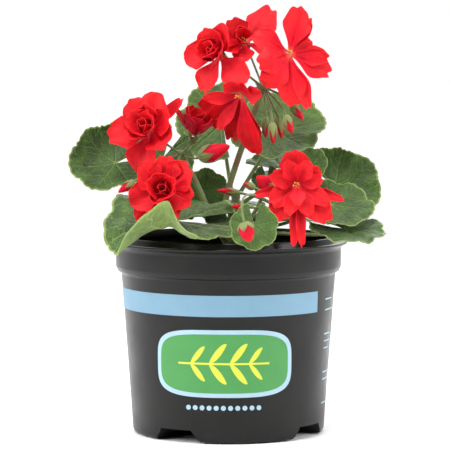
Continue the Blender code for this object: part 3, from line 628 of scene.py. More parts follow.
def plain_matt(name, colour, rough):
    """Matt stuff with small shifts of tone: pollen sacs or perlite."""
    material, shader, add = new_material(name, roughness=rough)
    where = add("PLACE")
    tone = add("RANGE", add("NOISE", where, 300.0, 4.0), 0.35, 0.7, 0.0, 0.25)
    fill(shader, {
        "Base Color": add("MIX", tone, rgba(colour), rgba(colour, 0.6)),
        "Normal": add("BUMP", add("NOISE", where, 1200.0, 3.0), 0.0002, 0.5),
    })
    return material


def sepal_skin(name, green, flush):
    """Sepal: downy green with brown-red ribs and a flush that deepens towards its tip."""
    material, shader, add = new_material(
        name, sheen_weight=0.35, sheen_roughness=0.4, roughness=0.55)
    where = add("PLACE")
    across, along, _ = add("SPLIT", add("PATTERN"))
    ribs = add("PINGPONG", add("ADD", across, 1.0), 0.33)
    ribs = add("RANGE", ribs, 0.0, 0.14, 0.55, 0.0)
    share = add("ADD", add("RANGE", along, 0.45, 1.0, 0.0, 0.7), ribs)
    patches = add("RANGE", add("NOISE", where, 220.0, 3.0), 0.3, 0.65, 0.5, 1.0)
    relief = add("ADD", add("MULTIPLY", ribs, 1.2), add("NOISE", where, 1800.0, 2.0))
    fill(shader, {
        "Base Color": add("MIX", add("MULTIPLY", share, patches), rgba(green), rgba(flush)),
        "Normal": add("BUMP", relief, 0.0003, 0.7),
    })
    return material


# Sizes and colours


class GeraniumPotSettings(bpy.types.PropertyGroup):
    """The pot, its print and the mix in it."""

    turn_steps: bpy.props.IntProperty(
        name="Turn steps", description="Flat faces round the pot", default=160, min=48, max=360)
    edge_round: bpy.props.FloatProperty(
        name="Edge rounding", description="Radius of the moulded edges, in millimetres",
        default=0.35, min=0.05, max=1.0)
    ink_height: bpy.props.FloatProperty(
        name="Ink height", description="How far the print stands proud, in millimetres",
        default=0.12, min=0.02, max=0.5)
    plastic: colour_property("Plastic", "Colour of the moulded pot", "#0D0C0B")
    band_ink: colour_property("Band ink", "Colour of the band round the pot", "#7096AD")
    border_ink: colour_property("Border ink", "Colour of the panel's border", "#9DBBCB")
    panel_ink: colour_property("Panel ink", "Colour of the panel", "#3F8A44")
    sprig_ink: colour_property("Sprig ink", "Colour of the sprig on the panel", "#C6CE3E")
    peat_dark: colour_property("Damp peat", "Darker colour of the mix", "#1A120C")
    peat_light: colour_property("Dry peat", "Lighter colour of the mix", "#3D2C1F")


class GeraniumPlantSettings(bpy.types.PropertyGroup):
    """The plant's leaves, stems, florets and buds."""

    blade_columns: bpy.props.IntProperty(
        name="Blade columns", description="Faces round each leaf blade", default=168, min=56)
    blade_rows: bpy.props.IntProperty(
        name="Blade rows", description="Faces from the middle of a blade to its edge",
        default=16, min=6)
    blade_thickness: bpy.props.FloatProperty(
        name="Blade thickness", description="Thickness of a leaf, in millimetres", default=0.5)
    petal_thickness: bpy.props.FloatProperty(
        name="Petal thickness", description="Thickness of a petal, in millimetres", default=0.35)
    leaf_deep: colour_property("Deep green", "Darker green of the leaves", "#243F10")
    leaf_fresh: colour_property("Fresh green", "Lighter green of the leaves", "#42621D")
    leaf_vein: colour_property("Vein green", "Colour of the veins", "#7B9248")
    # Painted highlight along each leaf's margin, for the light that its hairs catch; the undersides' veins
    # take this colour too.
    leaf_edge_sheen_and_under_vein: colour_property("Edge green", "Colour of the leaf's edge", "#9CAD60")
    under_deep: colour_property("Under deep", "Darker green of the undersides", "#607838")
    under_fresh: colour_property("Under fresh", "Lighter green of the undersides", "#82984E")
    stem_green: colour_property("Stem green", "Green of the stalks", "#667A3A")
    stem_blush: colour_property("Stem blush", "Reddish blush of the stalks", "#6E5034")
    bark: colour_property("Bark", "Colour of the woody stem", "#6A5B3C")
    petal_body: colour_property("Petal body", "Red of the petals", "#D40620")
    # Painted highlight: the brighter red towards the petals' tips stands for the light that the outer
    # petals catch.
    petal_tip_highlight: colour_property("Petal tip", "Brighter red towards the tips", "#EE2026")
    # Partly painted shade: the backs' own cooler red, darkened for the shade that the backs lie in.
    petal_back_shaded: colour_property("Petal back", "Cooler red of the petals' backs", "#C4042A")
    petal_shadow: colour_property("Petal shadow", "Deep red in the petals' veins", "#920018")
    petal_heart: colour_property("Petal heart", "Pale pink at the petals' claws", "#F06A60")


# Pot, print and mix


def body_radius(height):
    """Outside radius of the pot's body at a height."""
    return 67.2 + (75.1 - 67.2) * (height - 3.0) / (111.5 - 3.0)


def radial_block(work, turn, inner, outer, low, high, foot_half, top_half):
    """A closed block in one direction from the middle, wider at its foot than at its top."""
    block = bmesh.new()
    bmesh.ops.create_cube(block, size=2.0)
    across = [edge for edge in block.edges if abs(edge.verts[0].co.y - edge.verts[1].co.y) > 1.0]
    bmesh.ops.subdivide_edges(block, edges=across, cuts=7, use_grid_fill=True)
    for vertex in block.verts:
        along, aside, up = vertex.co
        radius = outer if along > 0.0 else inner
        half = top_half if up > 0.0 else foot_half
        angle = math.radians(turn + half * aside)
        height = high if up > 0.0 else low
        vertex.co = Vector((radius * math.cos(angle), radius * math.sin(angle), height)) * MM
    bmesh.ops.triangulate(block, faces=block.faces)
    mesh = bpy.data.meshes.new("block")
    block.to_mesh(mesh)
    block.free()
    work.from_mesh(mesh)
    bpy.data.meshes.remove(mesh)


def mesh_of(work, name):
    """Turns a mesh in the making into mesh data."""
    bmesh.ops.recalc_face_normals(work, faces=work.faces)
    mesh = bpy.data.meshes.new(name)
    work.to_mesh(mesh)
    work.free()
    return mesh


class GeraniumAddPot(bpy.types.Operator):
    """Adds the moulded pot with its flared lip, skirt, feet and drainage channels"""

    bl_idname = "mesh.geranium_add_pot"
    bl_label = "Pot"

    def execute(self, context):
        settings = context.scene.geranium_pot
        work = bmesh.new()
        points = [work.verts.new((r * MM, 0.0, z * MM)) for r, z in POT_SECTION]
        ends = [*zip(points, points[1:]), (points[-1], points[0])]
        edges = [work.edges.new(pair) for pair in ends if pair[0].co.x + pair[1].co.x > 1e-6]
        bmesh.ops.spin(
            work, geom=[*points, *edges], cent=(0, 0, 0), axis=(0, 0, 1), dvec=(0, 0, 0),
            angle=2.0 * math.pi, steps=settings.turn_steps, use_merge=True, use_duplicate=False)
        bmesh.ops.remove_doubles(work, verts=work.verts, dist=1e-6)
        rings = [
            edge for edge in work.edges
            if len(edge.link_faces) == 2 and edge.calc_face_angle(0.0) > SHARP_TURN
            and edge.verts[0].co.xy.length > 0.064
        ]
        bmesh.ops.bevel(
            work, geom=rings, offset=settings.edge_round * MM, segments=2, affect="EDGES",
            profile=0.5, material=-1, clamp_overlap=True)
        shell = mesh_of(work, "pot_shell")
        covers, cuts, pads = bmesh.new(), bmesh.new(), bmesh.new()
        for turn in CHANNEL_TURNS:
            radial_block(covers, turn, 24.5, body_radius(9.0) - 1.35, 1.9, 10.5, 18.0, 12.4)
            radial_block(cuts, turn, 26.0, 76.0, -1.0, CHANNEL_HEIGHT, 16.9, 10.5)
            spoke = Matrix.Rotation(math.radians(turn), 4, "Z")
            hole = spoke @ Matrix.Translation((DRAIN_RING * MM, 0.0, 0.008))
            bmesh.ops.create_cone(
                cuts, segments=32, radius1=DRAIN_RADIUS * MM, radius2=DRAIN_RADIUS * MM,
                depth=0.012, cap_ends=True, matrix=hole)
            for side in PAD_TURNS:
                place = Matrix.Rotation(math.radians(turn + 45.0 + side), 4, "Z")
                place @= Matrix.Translation((PAD_RING * MM, 0.0, 0.0006))
                place @= Matrix.Diagonal((0.003, 0.012, 0.0012, 1.0))
                bmesh.ops.create_cube(pads, size=1.0, matrix=place)
        helpers = []
        for name, made in (("covers", covers), ("cuts", cuts), ("pads", pads)):
            helper = bpy.data.objects.new(name, mesh_of(made, name))
            context.scene.collection.objects.link(helper)
            helpers.append(helper)

        def joins(holder):
            for helper, operation in zip(helpers, ("UNION", "DIFFERENCE", "UNION")):
                step = holder.modifiers.new(helper.name, "BOOLEAN")
                step.operation, step.object, step.solver = operation, helper, "EXACT"
                step.use_self = operation == "DIFFERENCE"

        made = bmesh.new()
        made.from_mesh(evaluated(shell, joins))
        for helper in helpers:
            bpy.data.objects.remove(helper)
        bmesh.ops.remove_doubles(made, verts=made.verts, dist=2e-6)
        plastic = moulded_plastic("satin_black_polypropylene", settings.plastic, 0.32)
        finish_piece("pot_shell", made, [plastic], ["pot"], sharp=28.0)
        return {"FINISHED"}


def wrapped(work, centre, low, width, high, columns, rows, shape=None, lift=0.0):
    """A sheet that lies on the pot's body: width and height in millimetres, shaped if asked."""
    def place(across, along):
        u, v = 2.0 * across - 1.0, 2.0 * along - 1.0
        if shape:
            u, v = shape(u, v)
        height = low + (high - low) * (v + 1.0) / 2.0
        radius = body_radius(height) + lift
        angle = math.radians(-90.0) + (centre + u * width / 2.0) / radius
        spot = Vector((radius * math.cos(angle), radius * math.sin(angle), height))
        return spot, (u, v, 0.0)

    surface(work, columns, rows, place)


def rounded(power):
    """Pulls the corners of a square in, to an outline that is nearly a rectangle."""
    def shape(u, v):
        reach = max(abs(u), abs(v))
        if reach < 1e-6:
            return 0.0, 0.0
        size = (abs(u) ** power + abs(v) ** power) ** (1.0 / power)
        return u * reach / size, v * reach / size

    return shape


class GeraniumAddPrint(bpy.types.Operator):
    """Adds the screen print: a pale band, and a plain panel with a sprig on it"""

    bl_idname = "mesh.geranium_add_print"
    bl_label = "Print"

    def execute(self, context):
        settings = context.scene.geranium_pot
        height = settings.ink_height
        half = height / 2.0
        layers = []
        work = start_mesh()
        wrapped(work, -28.0, 88.0, 200.0, 102.5, 128, 6, lift=half)
        layers.append(("band", work, settings.band_ink))
        work = start_mesh()
        wrapped(work, -3.5, 32.5, 99.0, 79.0, 72, 36, rounded(4.0), lift=half)
        for number in range(11):
            wrapped(work, -3.5 + 4.9 * (number - 5), 23.6, 3.4, 27.0, 8, 8, rounded(2.0), lift=half)
        for low, width in ((95.5, 13), (88.0, 16), (71.0, 12), (66.0, 14), (61.0, 9), (44.0, 13),
                           (39.0, 15), (22.0, 11)):
            wrapped(work, 84.0 + width / 2.0, low, width, low + 0.9, 10, 1, lift=half)
        layers.append(("border", work, settings.border_ink))
        work = start_mesh()
        wrapped(work, -3.5, 35.5, 93.0, 76.0, 72, 36, rounded(4.0), lift=half + height)
        layers.append(("panel", work, settings.panel_ink))
        work = start_mesh()
        for side in (-1, 1):
            for step, (along, size) in enumerate(((-21, 12), (-9, 14), (4, 14), (16, 11))):
                def leaflet(u, v, side=side, along=along, size=size):
                    wide = (1.0 - u * u) ** 0.8 * 0.36
                    x = along + (u + 1.0) * size * 0.5 * 0.8
                    y = side * ((u + 1.0) * size * 0.42 + 0.6) + v * size * wide * 0.62
                    return x / 32.0, y / 16.0

                wrapped(work, -3.5, 38.0, 70.0, 73.5, 14, 6, leaflet, lift=half + 2.0 * height)
        wrapped(work, -3.5, 55.1, 64.0, 56.5, 40, 1, lift=half + 2.0 * height)
        layers.append(("sprig", work, settings.sprig_ink))
        for name, work, colour in layers:
            thicken(work, height)
            bmesh.ops.recalc_face_normals(work, faces=work.faces)
            ink = printing_ink(f"matt_screen_ink_{name}", colour, 0.5)
            finish_piece(f"print_{name}", work, [ink], ())
        return {"FINISHED"}


class GeraniumAddMix(bpy.types.Operator):
    """Adds the potting mix with its crumbs and perlite"""

    bl_idname = "mesh.geranium_add_mix"
    bl_label = "Potting mix"

    def execute(self, context):
        settings = context.scene.geranium_pot
        work = start_mesh()
        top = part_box("potting_mix")[1][2] / MM
        crown, edge_radius, depth = 4.0, 76.9, 78.0
        edge = top - crown

        def level(radius):
            return edge + crown * (1.0 - (radius / edge_radius) ** 1.6)

        def place(across, along):
            angle = 2.0 * math.pi * across
            ring = along * 60.0
            if ring <= 44.0:
                radius = edge_radius * ring / 44.0
                height = level(radius)
                crumb = grain(radius * math.cos(angle) * 0.16, radius * math.sin(angle) * 0.16, 3.0)
                fine = grain(radius * math.cos(angle) * 0.6, radius * math.sin(angle) * 0.6, 8.0)
                height += (1.5 * crumb + 0.9 * fine) * ease(0.0, 4.0, radius)
                height -= 1.0 + 1.6 * ease(66.0, 76.0, radius)
            elif ring <= 59.0:
                share = (ring - 45.0) / 14.0
                height = edge - 3.0 - share * depth
                radius = 76.6 if height > 115.4 else body_radius(height) - 2.4
                radius = min(radius, 76.6)
            else:
                radius, height = 0.0, edge - 3.0 - depth
            spot = Vector((radius * math.cos(angle), radius * math.sin(angle), height))
            return spot, (0.0, 0.0, 0.0)

        surface(work, 144, 60, place, closed=True)
        for number in range(420):
            angle = number * GOLDEN_ANGLE
            radius = 8.0 + 66.0 * math.sqrt((number + 0.5) / 420)
            white = number % 6 == 0
            size = (0.9 if white else 1.5) * (0.7 + 0.6 * abs(grain(number * 0.37, 2.0, 5.0)) * 2.0)
            made = bmesh.ops.create_icosphere(work, subdivisions=1, radius=size * MM)["verts"]
            height = level(radius) - 0.6
            shift = Vector((radius * math.cos(angle), radius * math.sin(angle), height)) * MM
            turn = Matrix.Rotation(number * 1.9, 3, "Z") @ Matrix.Rotation(number * 0.7, 3, "X")
            squash = Matrix.Diagonal((1.5, 0.9, 0.6)) if not white else Matrix.Diagonal((1, 0.9, 0.8))
            for vertex in made:
                vertex.co = turn @ (squash @ vertex.co) + shift
            for face in {face for vertex in made for face in vertex.link_faces}:
                face.material_index = 1 if white else 0
        peat = peat_mix("damp_peat_mix", settings.peat_dark, settings.peat_light)
        perlite = plain_matt("chalky_perlite", linear("#E9E6DD"), 0.9)
        finish_piece("mix_surface", work, [peat, perlite], ["potting_mix"], 80.0)
        return {"FINISHED"}


# Stems, leaves and stalks


class GeraniumAddStem(bpy.types.Operator):
    """Adds the half-woody stem and its branches"""

    bl_idname = "mesh.geranium_add_stem"
    bl_label = "Stem"

    def execute(self, context):
        settings = context.scene.geranium_plant
        work = start_mesh()
        for number, (points, thick, thin) in enumerate(BRANCHES):
            def radius(share, thick=thick, thin=thin):
                knot = 0.10 * math.exp(-(((share * 4.0) % 1.0 - 0.5) / 0.12) ** 2)
                return (thick + (thin - thick) * share) * (0.95 + knot)

            def ripple(share, angle, number=number):
                return 0.05 * grain(2.0 * math.cos(angle), share * 9.0, 2.0 * math.sin(angle) + number)

            add_tube(work, smooth_path(points, 17), radius, 20, rows=36, ripple=ripple)
        bark = green_stem("half_woody_stem", settings.bark, settings.stem_green, 1.0)
        finish_piece("stem_branches", work, [bark], ["stem"])
        return {"FINISHED"}


def lobed_outline(angle, seed):
    """Share of the radius that a blade has at an angle from its tip: lobes and round teeth."""
    lobes = 0.875 + 0.10 * abs(math.cos(3.5 * angle)) ** 0.75
    teeth = 0.026 * abs(math.cos(17.5 * angle + seed)) ** 0.8
    shoulder = 0.12 * (1.0 - math.cos(angle)) / 2.0
    return lobes + teeth - shoulder + 0.012 * grain(angle * 1.3, seed, 4.0)


def add_blade(work, leaf, seed, columns, rows):
    """One leaf blade as an open sheet: spokes bent to arcs, ruffled, quilted and grooved."""
    junction, forward, face, radius, cup, fold, curls = leaf[:7]
    tip, left, out = axes_of(forward, face)
    middle = Vector(junction)
    limit = math.pi - math.radians(14.0)

    def place(across, along):
        angle = (1.0 - 2.0 * across) * limit
        reach = along ** 0.85
        bend = math.radians(cup)
        for centre, width, strength in curls:
            away = (math.degrees(angle) - centre + 180.0) % 360.0 - 180.0
            bend += math.radians(strength) * math.exp(-((away / width) ** 2))
        flat, lift = bent(radius * lobed_outline(angle, seed) * reach, 0.0, bend * reach)
        lift += abs(flat * math.sin(angle)) * math.tan(math.radians(fold))
        edge = reach ** 3
        ruffle = 0.034 * math.sin(7.0 * angle + seed) + 0.022 * math.sin(13.0 * angle - 1.7 * seed)
        ruffle += 0.05 * grain(angle * 1.1, seed * 3.0, 1.0)
        lift += radius * edge * ruffle
        x, y = flat * math.cos(angle), flat * math.sin(angle)
        vein = abs((angle + math.pi / 7.0) % (2.0 * math.pi / 7.0) - math.pi / 7.0) * reach
        lift -= radius * 0.016 * math.exp(-((vein / 0.035) ** 2)) * ease(0.0, 0.2, reach)
        lift += radius * 0.016 * grain(x / radius * 8.0 + seed, y / radius * 8.0, 0.5) * ease(0, 0.3, reach)
        spot = middle + tip * x + left * y + out * lift
        return spot, (reach * math.cos(angle), reach * math.sin(angle), reach)

    surface(work, columns, rows, place)


def leaf_materials(settings, tone):
    """Top and underside finishes of a leaf; tone 1 is fresher and 0 is deeper."""
    deep = [a + (b - a) * tone * 0.8 for a, b in zip(settings.leaf_deep, settings.leaf_fresh)]
    fresh = [b * (0.85 + 0.5 * tone) for b in settings.leaf_fresh]
    top = leaf_blade(f"leaf_top_{round(tone * 10)}", deep, fresh, settings.leaf_vein, settings.leaf_edge_sheen_and_under_vein)
    under = leaf_blade(f"leaf_underside_{round(tone * 10)}", settings.under_deep,
                       settings.under_fresh, settings.leaf_edge_sheen_and_under_vein, settings.leaf_edge_sheen_and_under_vein, True)
    return top, under


class GeraniumAddLeaves(bpy.types.Operator):
    """Adds the leaves with their stalks"""

    bl_idname = "mesh.geranium_add_leaves"
    bl_label = "Leaves"

    def execute(self, context):
        settings = context.scene.geranium_plant
        shared = {}
        stalk = green_stem("downy_leaf_stalk", settings.stem_green, settings.leaf_vein, 0.0)
        for number, (name, leaf) in enumerate(LEAVES.items()):
            tone = leaf[8]
            if tone not in shared:
                shared[tone] = leaf_materials(settings, tone)
            top, under = shared[tone]
            work = start_mesh()
            add_blade(work, leaf, 1.0 + 2.3 * number, settings.blade_columns, settings.blade_rows)
            thicken(work, settings.blade_thickness)
            junction, out = Vector(leaf[0]), axes_of(leaf[1], leaf[2])[2]
            path = [*leaf[7], junction - out * leaf[3] * 0.25, junction + out * 0.1]
            add_tube(work, smooth_path(path, 20), lambda share: 1.5 - 0.35 * share, 12, 2)
            finish_piece(f"leaf_{name}_blade", work, [top, under, stalk], [f"leaf_{name}"])
        return {"FINISHED"}


def hub_of(stalk):
    """Middle of the hub at the end of a flower stalk."""
    points = STALKS[stalk]
    end = Vector(points[-1])
    return end + (end - Vector(points[-2])).normalized() * 3.0


def add_sepal(work, foot, way, side, length, width, lean, hollow):
    """One pointed sepal: starts at foot, runs along way and leans out to side."""
    across_way = way.cross(side)

    def place(across, along):
        s = 1.0 - 2.0 * across
        half = width / 2.0 * math.sin(math.pi * min(along * 0.72 + 0.28, 1.0)) ** 0.9
        forward, out = bent(length * along, math.radians(lean * 0.3), math.radians(lean))
        out -= hollow * (s * half) ** 2
        spot = foot + way * forward + side * out + across_way * (s * half)
        return spot, (s, along, 0.5)

    surface(work, 6, 10, place)


class GeraniumAddStalks(bpy.types.Operator):
    """Adds the flower stalks with the bracts at their hubs"""

    bl_idname = "mesh.geranium_add_stalks"
    bl_label = "Flower stalks"

    def execute(self, context):
        settings = context.scene.geranium_plant
        skin = green_stem("downy_flower_stalk", settings.stem_green, settings.stem_blush, 0.2)
        bract = sepal_skin("papery_bract", settings.stem_green, settings.stem_blush)
        for name, points in STALKS.items():
            work = start_mesh()
            path = smooth_path(points, 24)
            way = (path[-1] - path[-2]).normalized()
            for side in ring(way, 7, step=GOLDEN_ANGLE):
                add_sepal(work, path[-1] + side * 2.0, way, side, 6.5, 3.2, 55.0, 0.12)
            thicken(work, 0.3, material=1)
            path += [path[-1] + way * share for share in (1.5, 3.0, 4.5, 5.8)]

            def radius(share):
                return 2.1 + 1.1 * ease(0.80, 0.92, share) - 1.6 * ease(0.94, 1.0, share)

            add_tube(work, path, radius, 16, 0, rows=48)
            finish_piece(f"{name}_skin", work, [skin, bract], [name])
        return {"FINISHED"}


def add_pedicel(work, stalk, foot, bend=None):
    """The thin stalk from a hub to the foot of a calyx or bud."""
    hub = hub_of(stalk)
    start = hub + ((bend or foot) - hub).normalized() * 2.4
    path = smooth_path([start, bend or start.lerp(foot, 0.5), foot], 14)
    add_tube(work, path, lambda share: 0.75 + 0.2 * abs(2.0 * share - 1.0) ** 3, 10)


# Florets and buds


def add_petal(work, middle, axes, petal, seed):
    """One petal as an open sheet: a narrow claw that widens to a rounded, frilled blade."""
    up, left, out = axes
    angle, length, width, rise, curl, cup = petal
    around = math.radians(angle)
    way = up * math.cos(around) + left * math.sin(around)
    side = out.cross(way)
    shade = (seed * 0.618) % 1.0
    lean = math.radians(14.0) * grain(seed * 1.7, 2.0, 0.0)
    slim = width / length

    def place(across, along):
        s, t = 1.0 - 2.0 * across, along
        reach = t * (1.0 - (0.26 + 0.1 * slim) * abs(s) ** 2.4 * t)
        reach -= 0.05 * t ** 4 * math.exp(-((s - 0.12 * math.sin(seed)) / 0.16) ** 2)
        reach += 0.022 * t ** 5 * math.sin(9.0 * s + seed)
        half = width / 2.0 * (0.15 + 0.85 * ease(0.0, 0.74, t)) * (1.0 - 0.10 * ease(0.8, 1.0, t))
        bend = math.radians(curl) * reach
        forward, lift = bent(length * reach, math.radians(rise), bend)
        slope = math.radians(rise) + bend
        up_here = out * math.cos(slope) - way * math.sin(slope)
        raised = cup * half * s * s * ease(0.0, 0.5, t)
        raised += width * 0.035 * t ** 3 * math.sin(5.0 * s + 1.3 * seed)
        raised += width * 0.075 * t * t * grain(2.2 * s + seed, 2.6 * t, seed * 0.7)
        raised -= width * 0.05 * math.exp(-((s / 0.10) ** 2)) * (1.0 - t) * ease(0.05, 0.3, t)
        aside = s * half + lean * forward * t
        spot = middle + way * (1.0 + forward) + side * aside + out * lift + up_here * raised
        return spot, (s, t, shade)

    surface(work, 14, 16, place)


def add_stamens(work, middle, axes, count, length, green, pollen):
    """A tuft of filaments with pollen sacs."""
    up, left, out = axes
    for number in range(count):
        angle = number * GOLDEN_ANGLE
        lean = 0.28 * math.sqrt((number + 0.5) / count) * 1.6
        way = (out + (up * math.cos(angle) + left * math.sin(angle)) * lean).normalized()
        size = length * (0.75 + 0.25 * math.cos(number * 2.1))
        path = [middle + way * size * step / 4.0 for step in range(5)]
        add_tube(work, path, lambda share: 0.32 - 0.08 * share, 6, green)
        sac = [(0.0, 0.0), (0.15, 0.35), (0.6, 0.55), (1.1, 0.5), (1.5, 0.25), (1.65, 0.0)]
        add_turned(work, path[-1] - way * 0.3, way, sac, 8, pollen)


class GeraniumAddFlorets(bpy.types.Operator):
    """Adds the open florets, petal by petal, and the calyx behind each"""

    bl_idname = "mesh.geranium_add_florets"
    bl_label = "Florets"

    def execute(self, context):
        settings = context.scene.geranium_plant
        face = petal_skin("velvet_petal_face", settings.petal_heart, settings.petal_body,
                          settings.petal_tip_highlight, settings.petal_shadow)
        # The back is a darker copy of the face: the backs' own cooler red with painted shade.
        back = petal_skin("velvet_petal_back", settings.petal_shadow, settings.petal_back_shaded,
                          settings.petal_back_shaded, settings.petal_shadow)
        thread = green_stem("pale_filament", linear("#E86A5A"), linear("#F0C0A0"), 0.0)
        pollen = plain_matt("ochre_pollen", linear("#E8A23C"), 0.8)
        skin = green_stem("downy_pedicel", settings.stem_green, settings.stem_blush, 0.1)
        sepal = sepal_skin("downy_sepal", linear("#6C7D3A"), linear("#8A3526"))
        for order, (name, floret) in enumerate(FLORETS.items()):
            stalk, middle, looks, first, petals = floret
            middle, axes = Vector(middle), axes_of(first, looks)
            out = axes[2]
            work = start_mesh()
            for number, petal in enumerate(petals):
                lift = out * (0.25 * number if petal[3] > 40 else 0.08 * number)
                add_petal(work, middle + lift, axes, petal, 1.0 + 3.7 * order + 1.3 * number)
            thicken(work, settings.petal_thickness)
            add_stamens(work, middle, axes, 7, 6.0 if name != "half_open" else 3.0, 2, 3)
            finish_piece(f"floret_{name}_petals", work, [face, back, thread, pollen],
                         [f"floret_{name}"])
            work = start_mesh()
            end = middle - out * 0.9
            foot = end - out * 6.0
            for number in range(5):
                angle = 2.0 * math.pi * number / 5.0 + order
                side = axes[0] * math.cos(angle) + axes[1] * math.sin(angle)
                add_sepal(work, foot + side * 1.0, out, side, 8.0, 3.6, 32.0, 0.14)
            thicken(work, 0.35, material=1)
            add_pedicel(work, stalk, foot)
            cup = [(-0.6, 0.0), (-0.4, 0.7), (0.6, 1.2), (2.2, 1.5), (4.0, 1.7), (5.2, 1.6), (5.4, 0.0)]
            add_turned(work, foot, out, cup, 16, 1)
            finish_piece(f"calyx_{name}_skin", work, [skin, sepal], [f"calyx_{name}"])
        return {"FINISHED"}


class GeraniumAddBuds(bpy.types.Operator):
    """Adds the closed buds on their pedicels"""

    bl_idname = "mesh.geranium_add_buds"
    bl_label = "Buds"

    def execute(self, context):
        settings = context.scene.geranium_plant
        red = petal_skin("furled_petal", settings.petal_shadow, settings.petal_back_shaded,
                         settings.petal_body, settings.petal_shadow)
        skin = green_stem("downy_bud_stalk", settings.stem_green, settings.stem_blush, 0.1)
        sepal = sepal_skin("downy_bud_sepal", linear("#71803F"), linear("#7A3A28"))
        for order, (name, bud) in enumerate(BUDS.items()):
            stalk, foot, tip, length, radius, cover = bud
            foot, tip = Vector(foot), Vector(tip)
            way = (tip - foot).normalized()
            neck = tip - way * length
            work = start_mesh()
            reach = length * (0.35 + 0.5 * cover)
            for out in ring(way, 5, order):
                wrap_sepal(work, neck, way, out, reach, length, radius, cover)
            thicken(work, 0.3, material=1)
            add_pedicel(work, stalk, neck + way * 0.5, foot)
            profile = [(0.0, 0.0)]
            for step in range(1, 24):
                along = step / 24.0
                profile.append((length * along, bud_radius(along, radius)))
            profile.append((length, 0.0))

            def furl(along, angle, order=order):
                return 0.07 * math.sin(2.0 * angle + 5.0 * along + order) * ease(0.2, 0.7, along)

            add_turned(work, neck, way, profile, 28, 2, furl)
            finish_piece(f"{name}_skin", work, [skin, sepal, red], [name])
        return {"FINISHED"}


def bud_radius(along, radius):
    """Radius of a bud at a share of its length: full low down and drawn to a blunt point."""
    return radius * math.sin(math.pi * along ** 0.82) ** 0.62 * (1.0 - 0.25 * along)


def wrap_sepal(work, neck, way, out, reach, length, radius, cover):
    """One sepal that hugs a bud."""
    across_way = way.cross(out)

    def place(across, along):
        s = 1.0 - 2.0 * across
        share = min(0.02 + along * reach / length, 0.985)
        size = bud_radius(share, radius) + 0.25 + 0.5 * (1.0 - cover) * along ** 3
        spread = 0.72 * (1.0 - along ** 1.6) + 0.03
        angle = s * spread
        spot = neck + way * (share * length) + (out * math.cos(angle) + across_way * math.sin(angle)) * size
        return spot, (s, along, 0.5)

    surface(work, 8, 14, place)


# Stage

# Soft boxes: name, place and side in metres, and power in watts.
LIGHTS = [
    ("left_box", (-1.5, -0.7, 0.9), 1.1, 28.0), ("right_box", (1.5, -0.6, 0.8), 1.1, 21.0),
    ("top_box", (-0.2, -0.7, 1.9), 0.9, 32.0), ("rear_box", (0.2, 1.5, 1.2), 1.2, 22.0),
]
LIGHT_AIM = (0.0, 0.0, 0.16)
CAMERA_PLACE, CAMERA_AIM = (0.0, -1.8, 0.279), (0.0, 0.0, 0.145)
FOCAL_LENGTH, SIDE_SHIFT = 205.7, -3.5 / 450.0
FLOOR_HALF, NEAR_FLOOR, FAR_FLOOR = 12.0, 0.5, 1.8


def looking(place, aim):
    """A place and turn that look from a place at an aim."""
    turn = (Vector(aim) - Vector(place)).to_track_quat("-Z", "Y")
    return Matrix.Translation(place) @ turn.to_matrix().to_4x4()


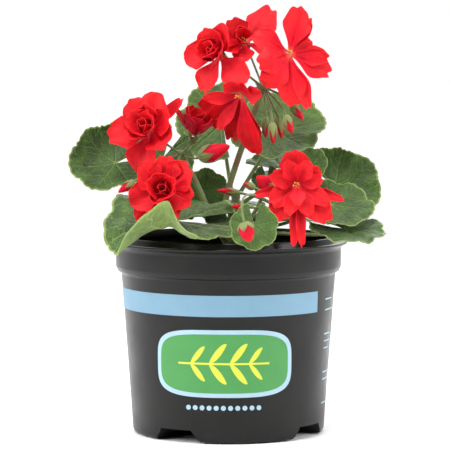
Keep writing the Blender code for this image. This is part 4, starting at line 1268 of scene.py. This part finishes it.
class GeraniumAddStage(bpy.types.Operator):
    """Adds the floor, the studio light and the camera"""

    bl_idname = "mesh.geranium_add_stage"
    bl_label = "Stage"

    def execute(self, context):
        scene = context.scene
        work = bmesh.new()
        bmesh.ops.create_grid(work, x_segments=8, y_segments=8, size=FLOOR_HALF)
        mesh = bpy.data.meshes.new("floor")
        work.to_mesh(mesh)
        work.free()
        # The paper turns into plain white light further out, so that no horizon shows.
        paper, shader, add = new_material(
            "white_studio_paper", roughness=0.9, emission_color=(1.0, 1.0, 1.0, 1.0))
        far = add("RANGE", add("LENGTH", add("PLACE")), NEAR_FLOOR, FAR_FLOOR)
        fill(shader, {
            "Base Color": add("MIX", far, rgba(linear("#FAFAFA")), (0.0, 0.0, 0.0, 1.0)),
            "Emission Strength": far,
        })
        mesh.materials.append(paper)
        floor = bpy.data.objects.new("floor", mesh)
        scene.collection.objects.link(floor)
        world = bpy.data.worlds.new("studio")
        world.use_nodes = True
        add = functools.partial(add_node, world.node_tree)
        soft = add("RANGE", add("SPLIT", add("WAY"))[1], -0.9, 0.3, 0.10, 0.8)
        fill(world.node_tree.nodes["Background"], {
            "Color": (1.0, 1.0, 1.0, 1.0),
            "Strength": add("MAXIMUM", soft, add("CAMERA_RAY")),
        })
        scene.world = world
        for name, place, size, power in LIGHTS:
            lamp = bpy.data.lights.new(name, "AREA")
            lamp.size, lamp.energy = size, power
            light = bpy.data.objects.new(name, lamp)
            light.visible_camera = False
            light.matrix_world = looking(place, LIGHT_AIM)
            scene.collection.objects.link(light)
        lens = bpy.data.cameras.new("camera")
        lens.lens = FOCAL_LENGTH
        lens.shift_x = SIDE_SHIFT
        camera = bpy.data.objects.new("camera", lens)
        camera.matrix_world = looking(CAMERA_PLACE, CAMERA_AIM)
        scene.collection.objects.link(camera)
        scene.camera = camera
        scene.view_settings.view_transform = "Standard"
        return {"FINISHED"}


class GERANIUM_PT_panel(bpy.types.Panel):
    """Lists the pieces of the potted geranium"""

    bl_label = "Potted Geranium"
    bl_idname = "GERANIUM_PT_panel"
    bl_space_type = "VIEW_3D"
    bl_region_type = "UI"
    bl_category = "Geranium"

    def draw(self, context):
        column = self.layout.column(align=True)
        for operator in OPERATORS:
            column.operator(operator.bl_idname)
        for group in (context.scene.geranium_pot, context.scene.geranium_plant):
            box = self.layout.box()
            for name in group.__annotations__:
                box.prop(group, name)


OPERATORS = (
    GeraniumAddPot, GeraniumAddPrint, GeraniumAddMix, GeraniumAddStem, GeraniumAddLeaves,
    GeraniumAddStalks, GeraniumAddFlorets, GeraniumAddBuds, GeraniumAddStage,
)
CLASSES = (GeraniumPotSettings, GeraniumPlantSettings, *OPERATORS, GERANIUM_PT_panel)


def register():
    """Adds the classes and their settings to Blender."""
    for item in CLASSES:
        bpy.utils.register_class(item)
    bpy.types.Scene.geranium_pot = bpy.props.PointerProperty(type=GeraniumPotSettings)
    bpy.types.Scene.geranium_plant = bpy.props.PointerProperty(type=GeraniumPlantSettings)


def unregister():
    """Takes the classes and their settings away again."""
    del bpy.types.Scene.geranium_plant
    del bpy.types.Scene.geranium_pot
    for item in reversed(CLASSES):
        bpy.utils.unregister_class(item)


def main():
    """Builds the potted geranium."""
    register()
    for operator in OPERATORS:
        group, name = operator.bl_idname.split(".")
        getattr(getattr(bpy.ops, group), name)()
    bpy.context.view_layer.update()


if __name__ == "__main__":
    main()
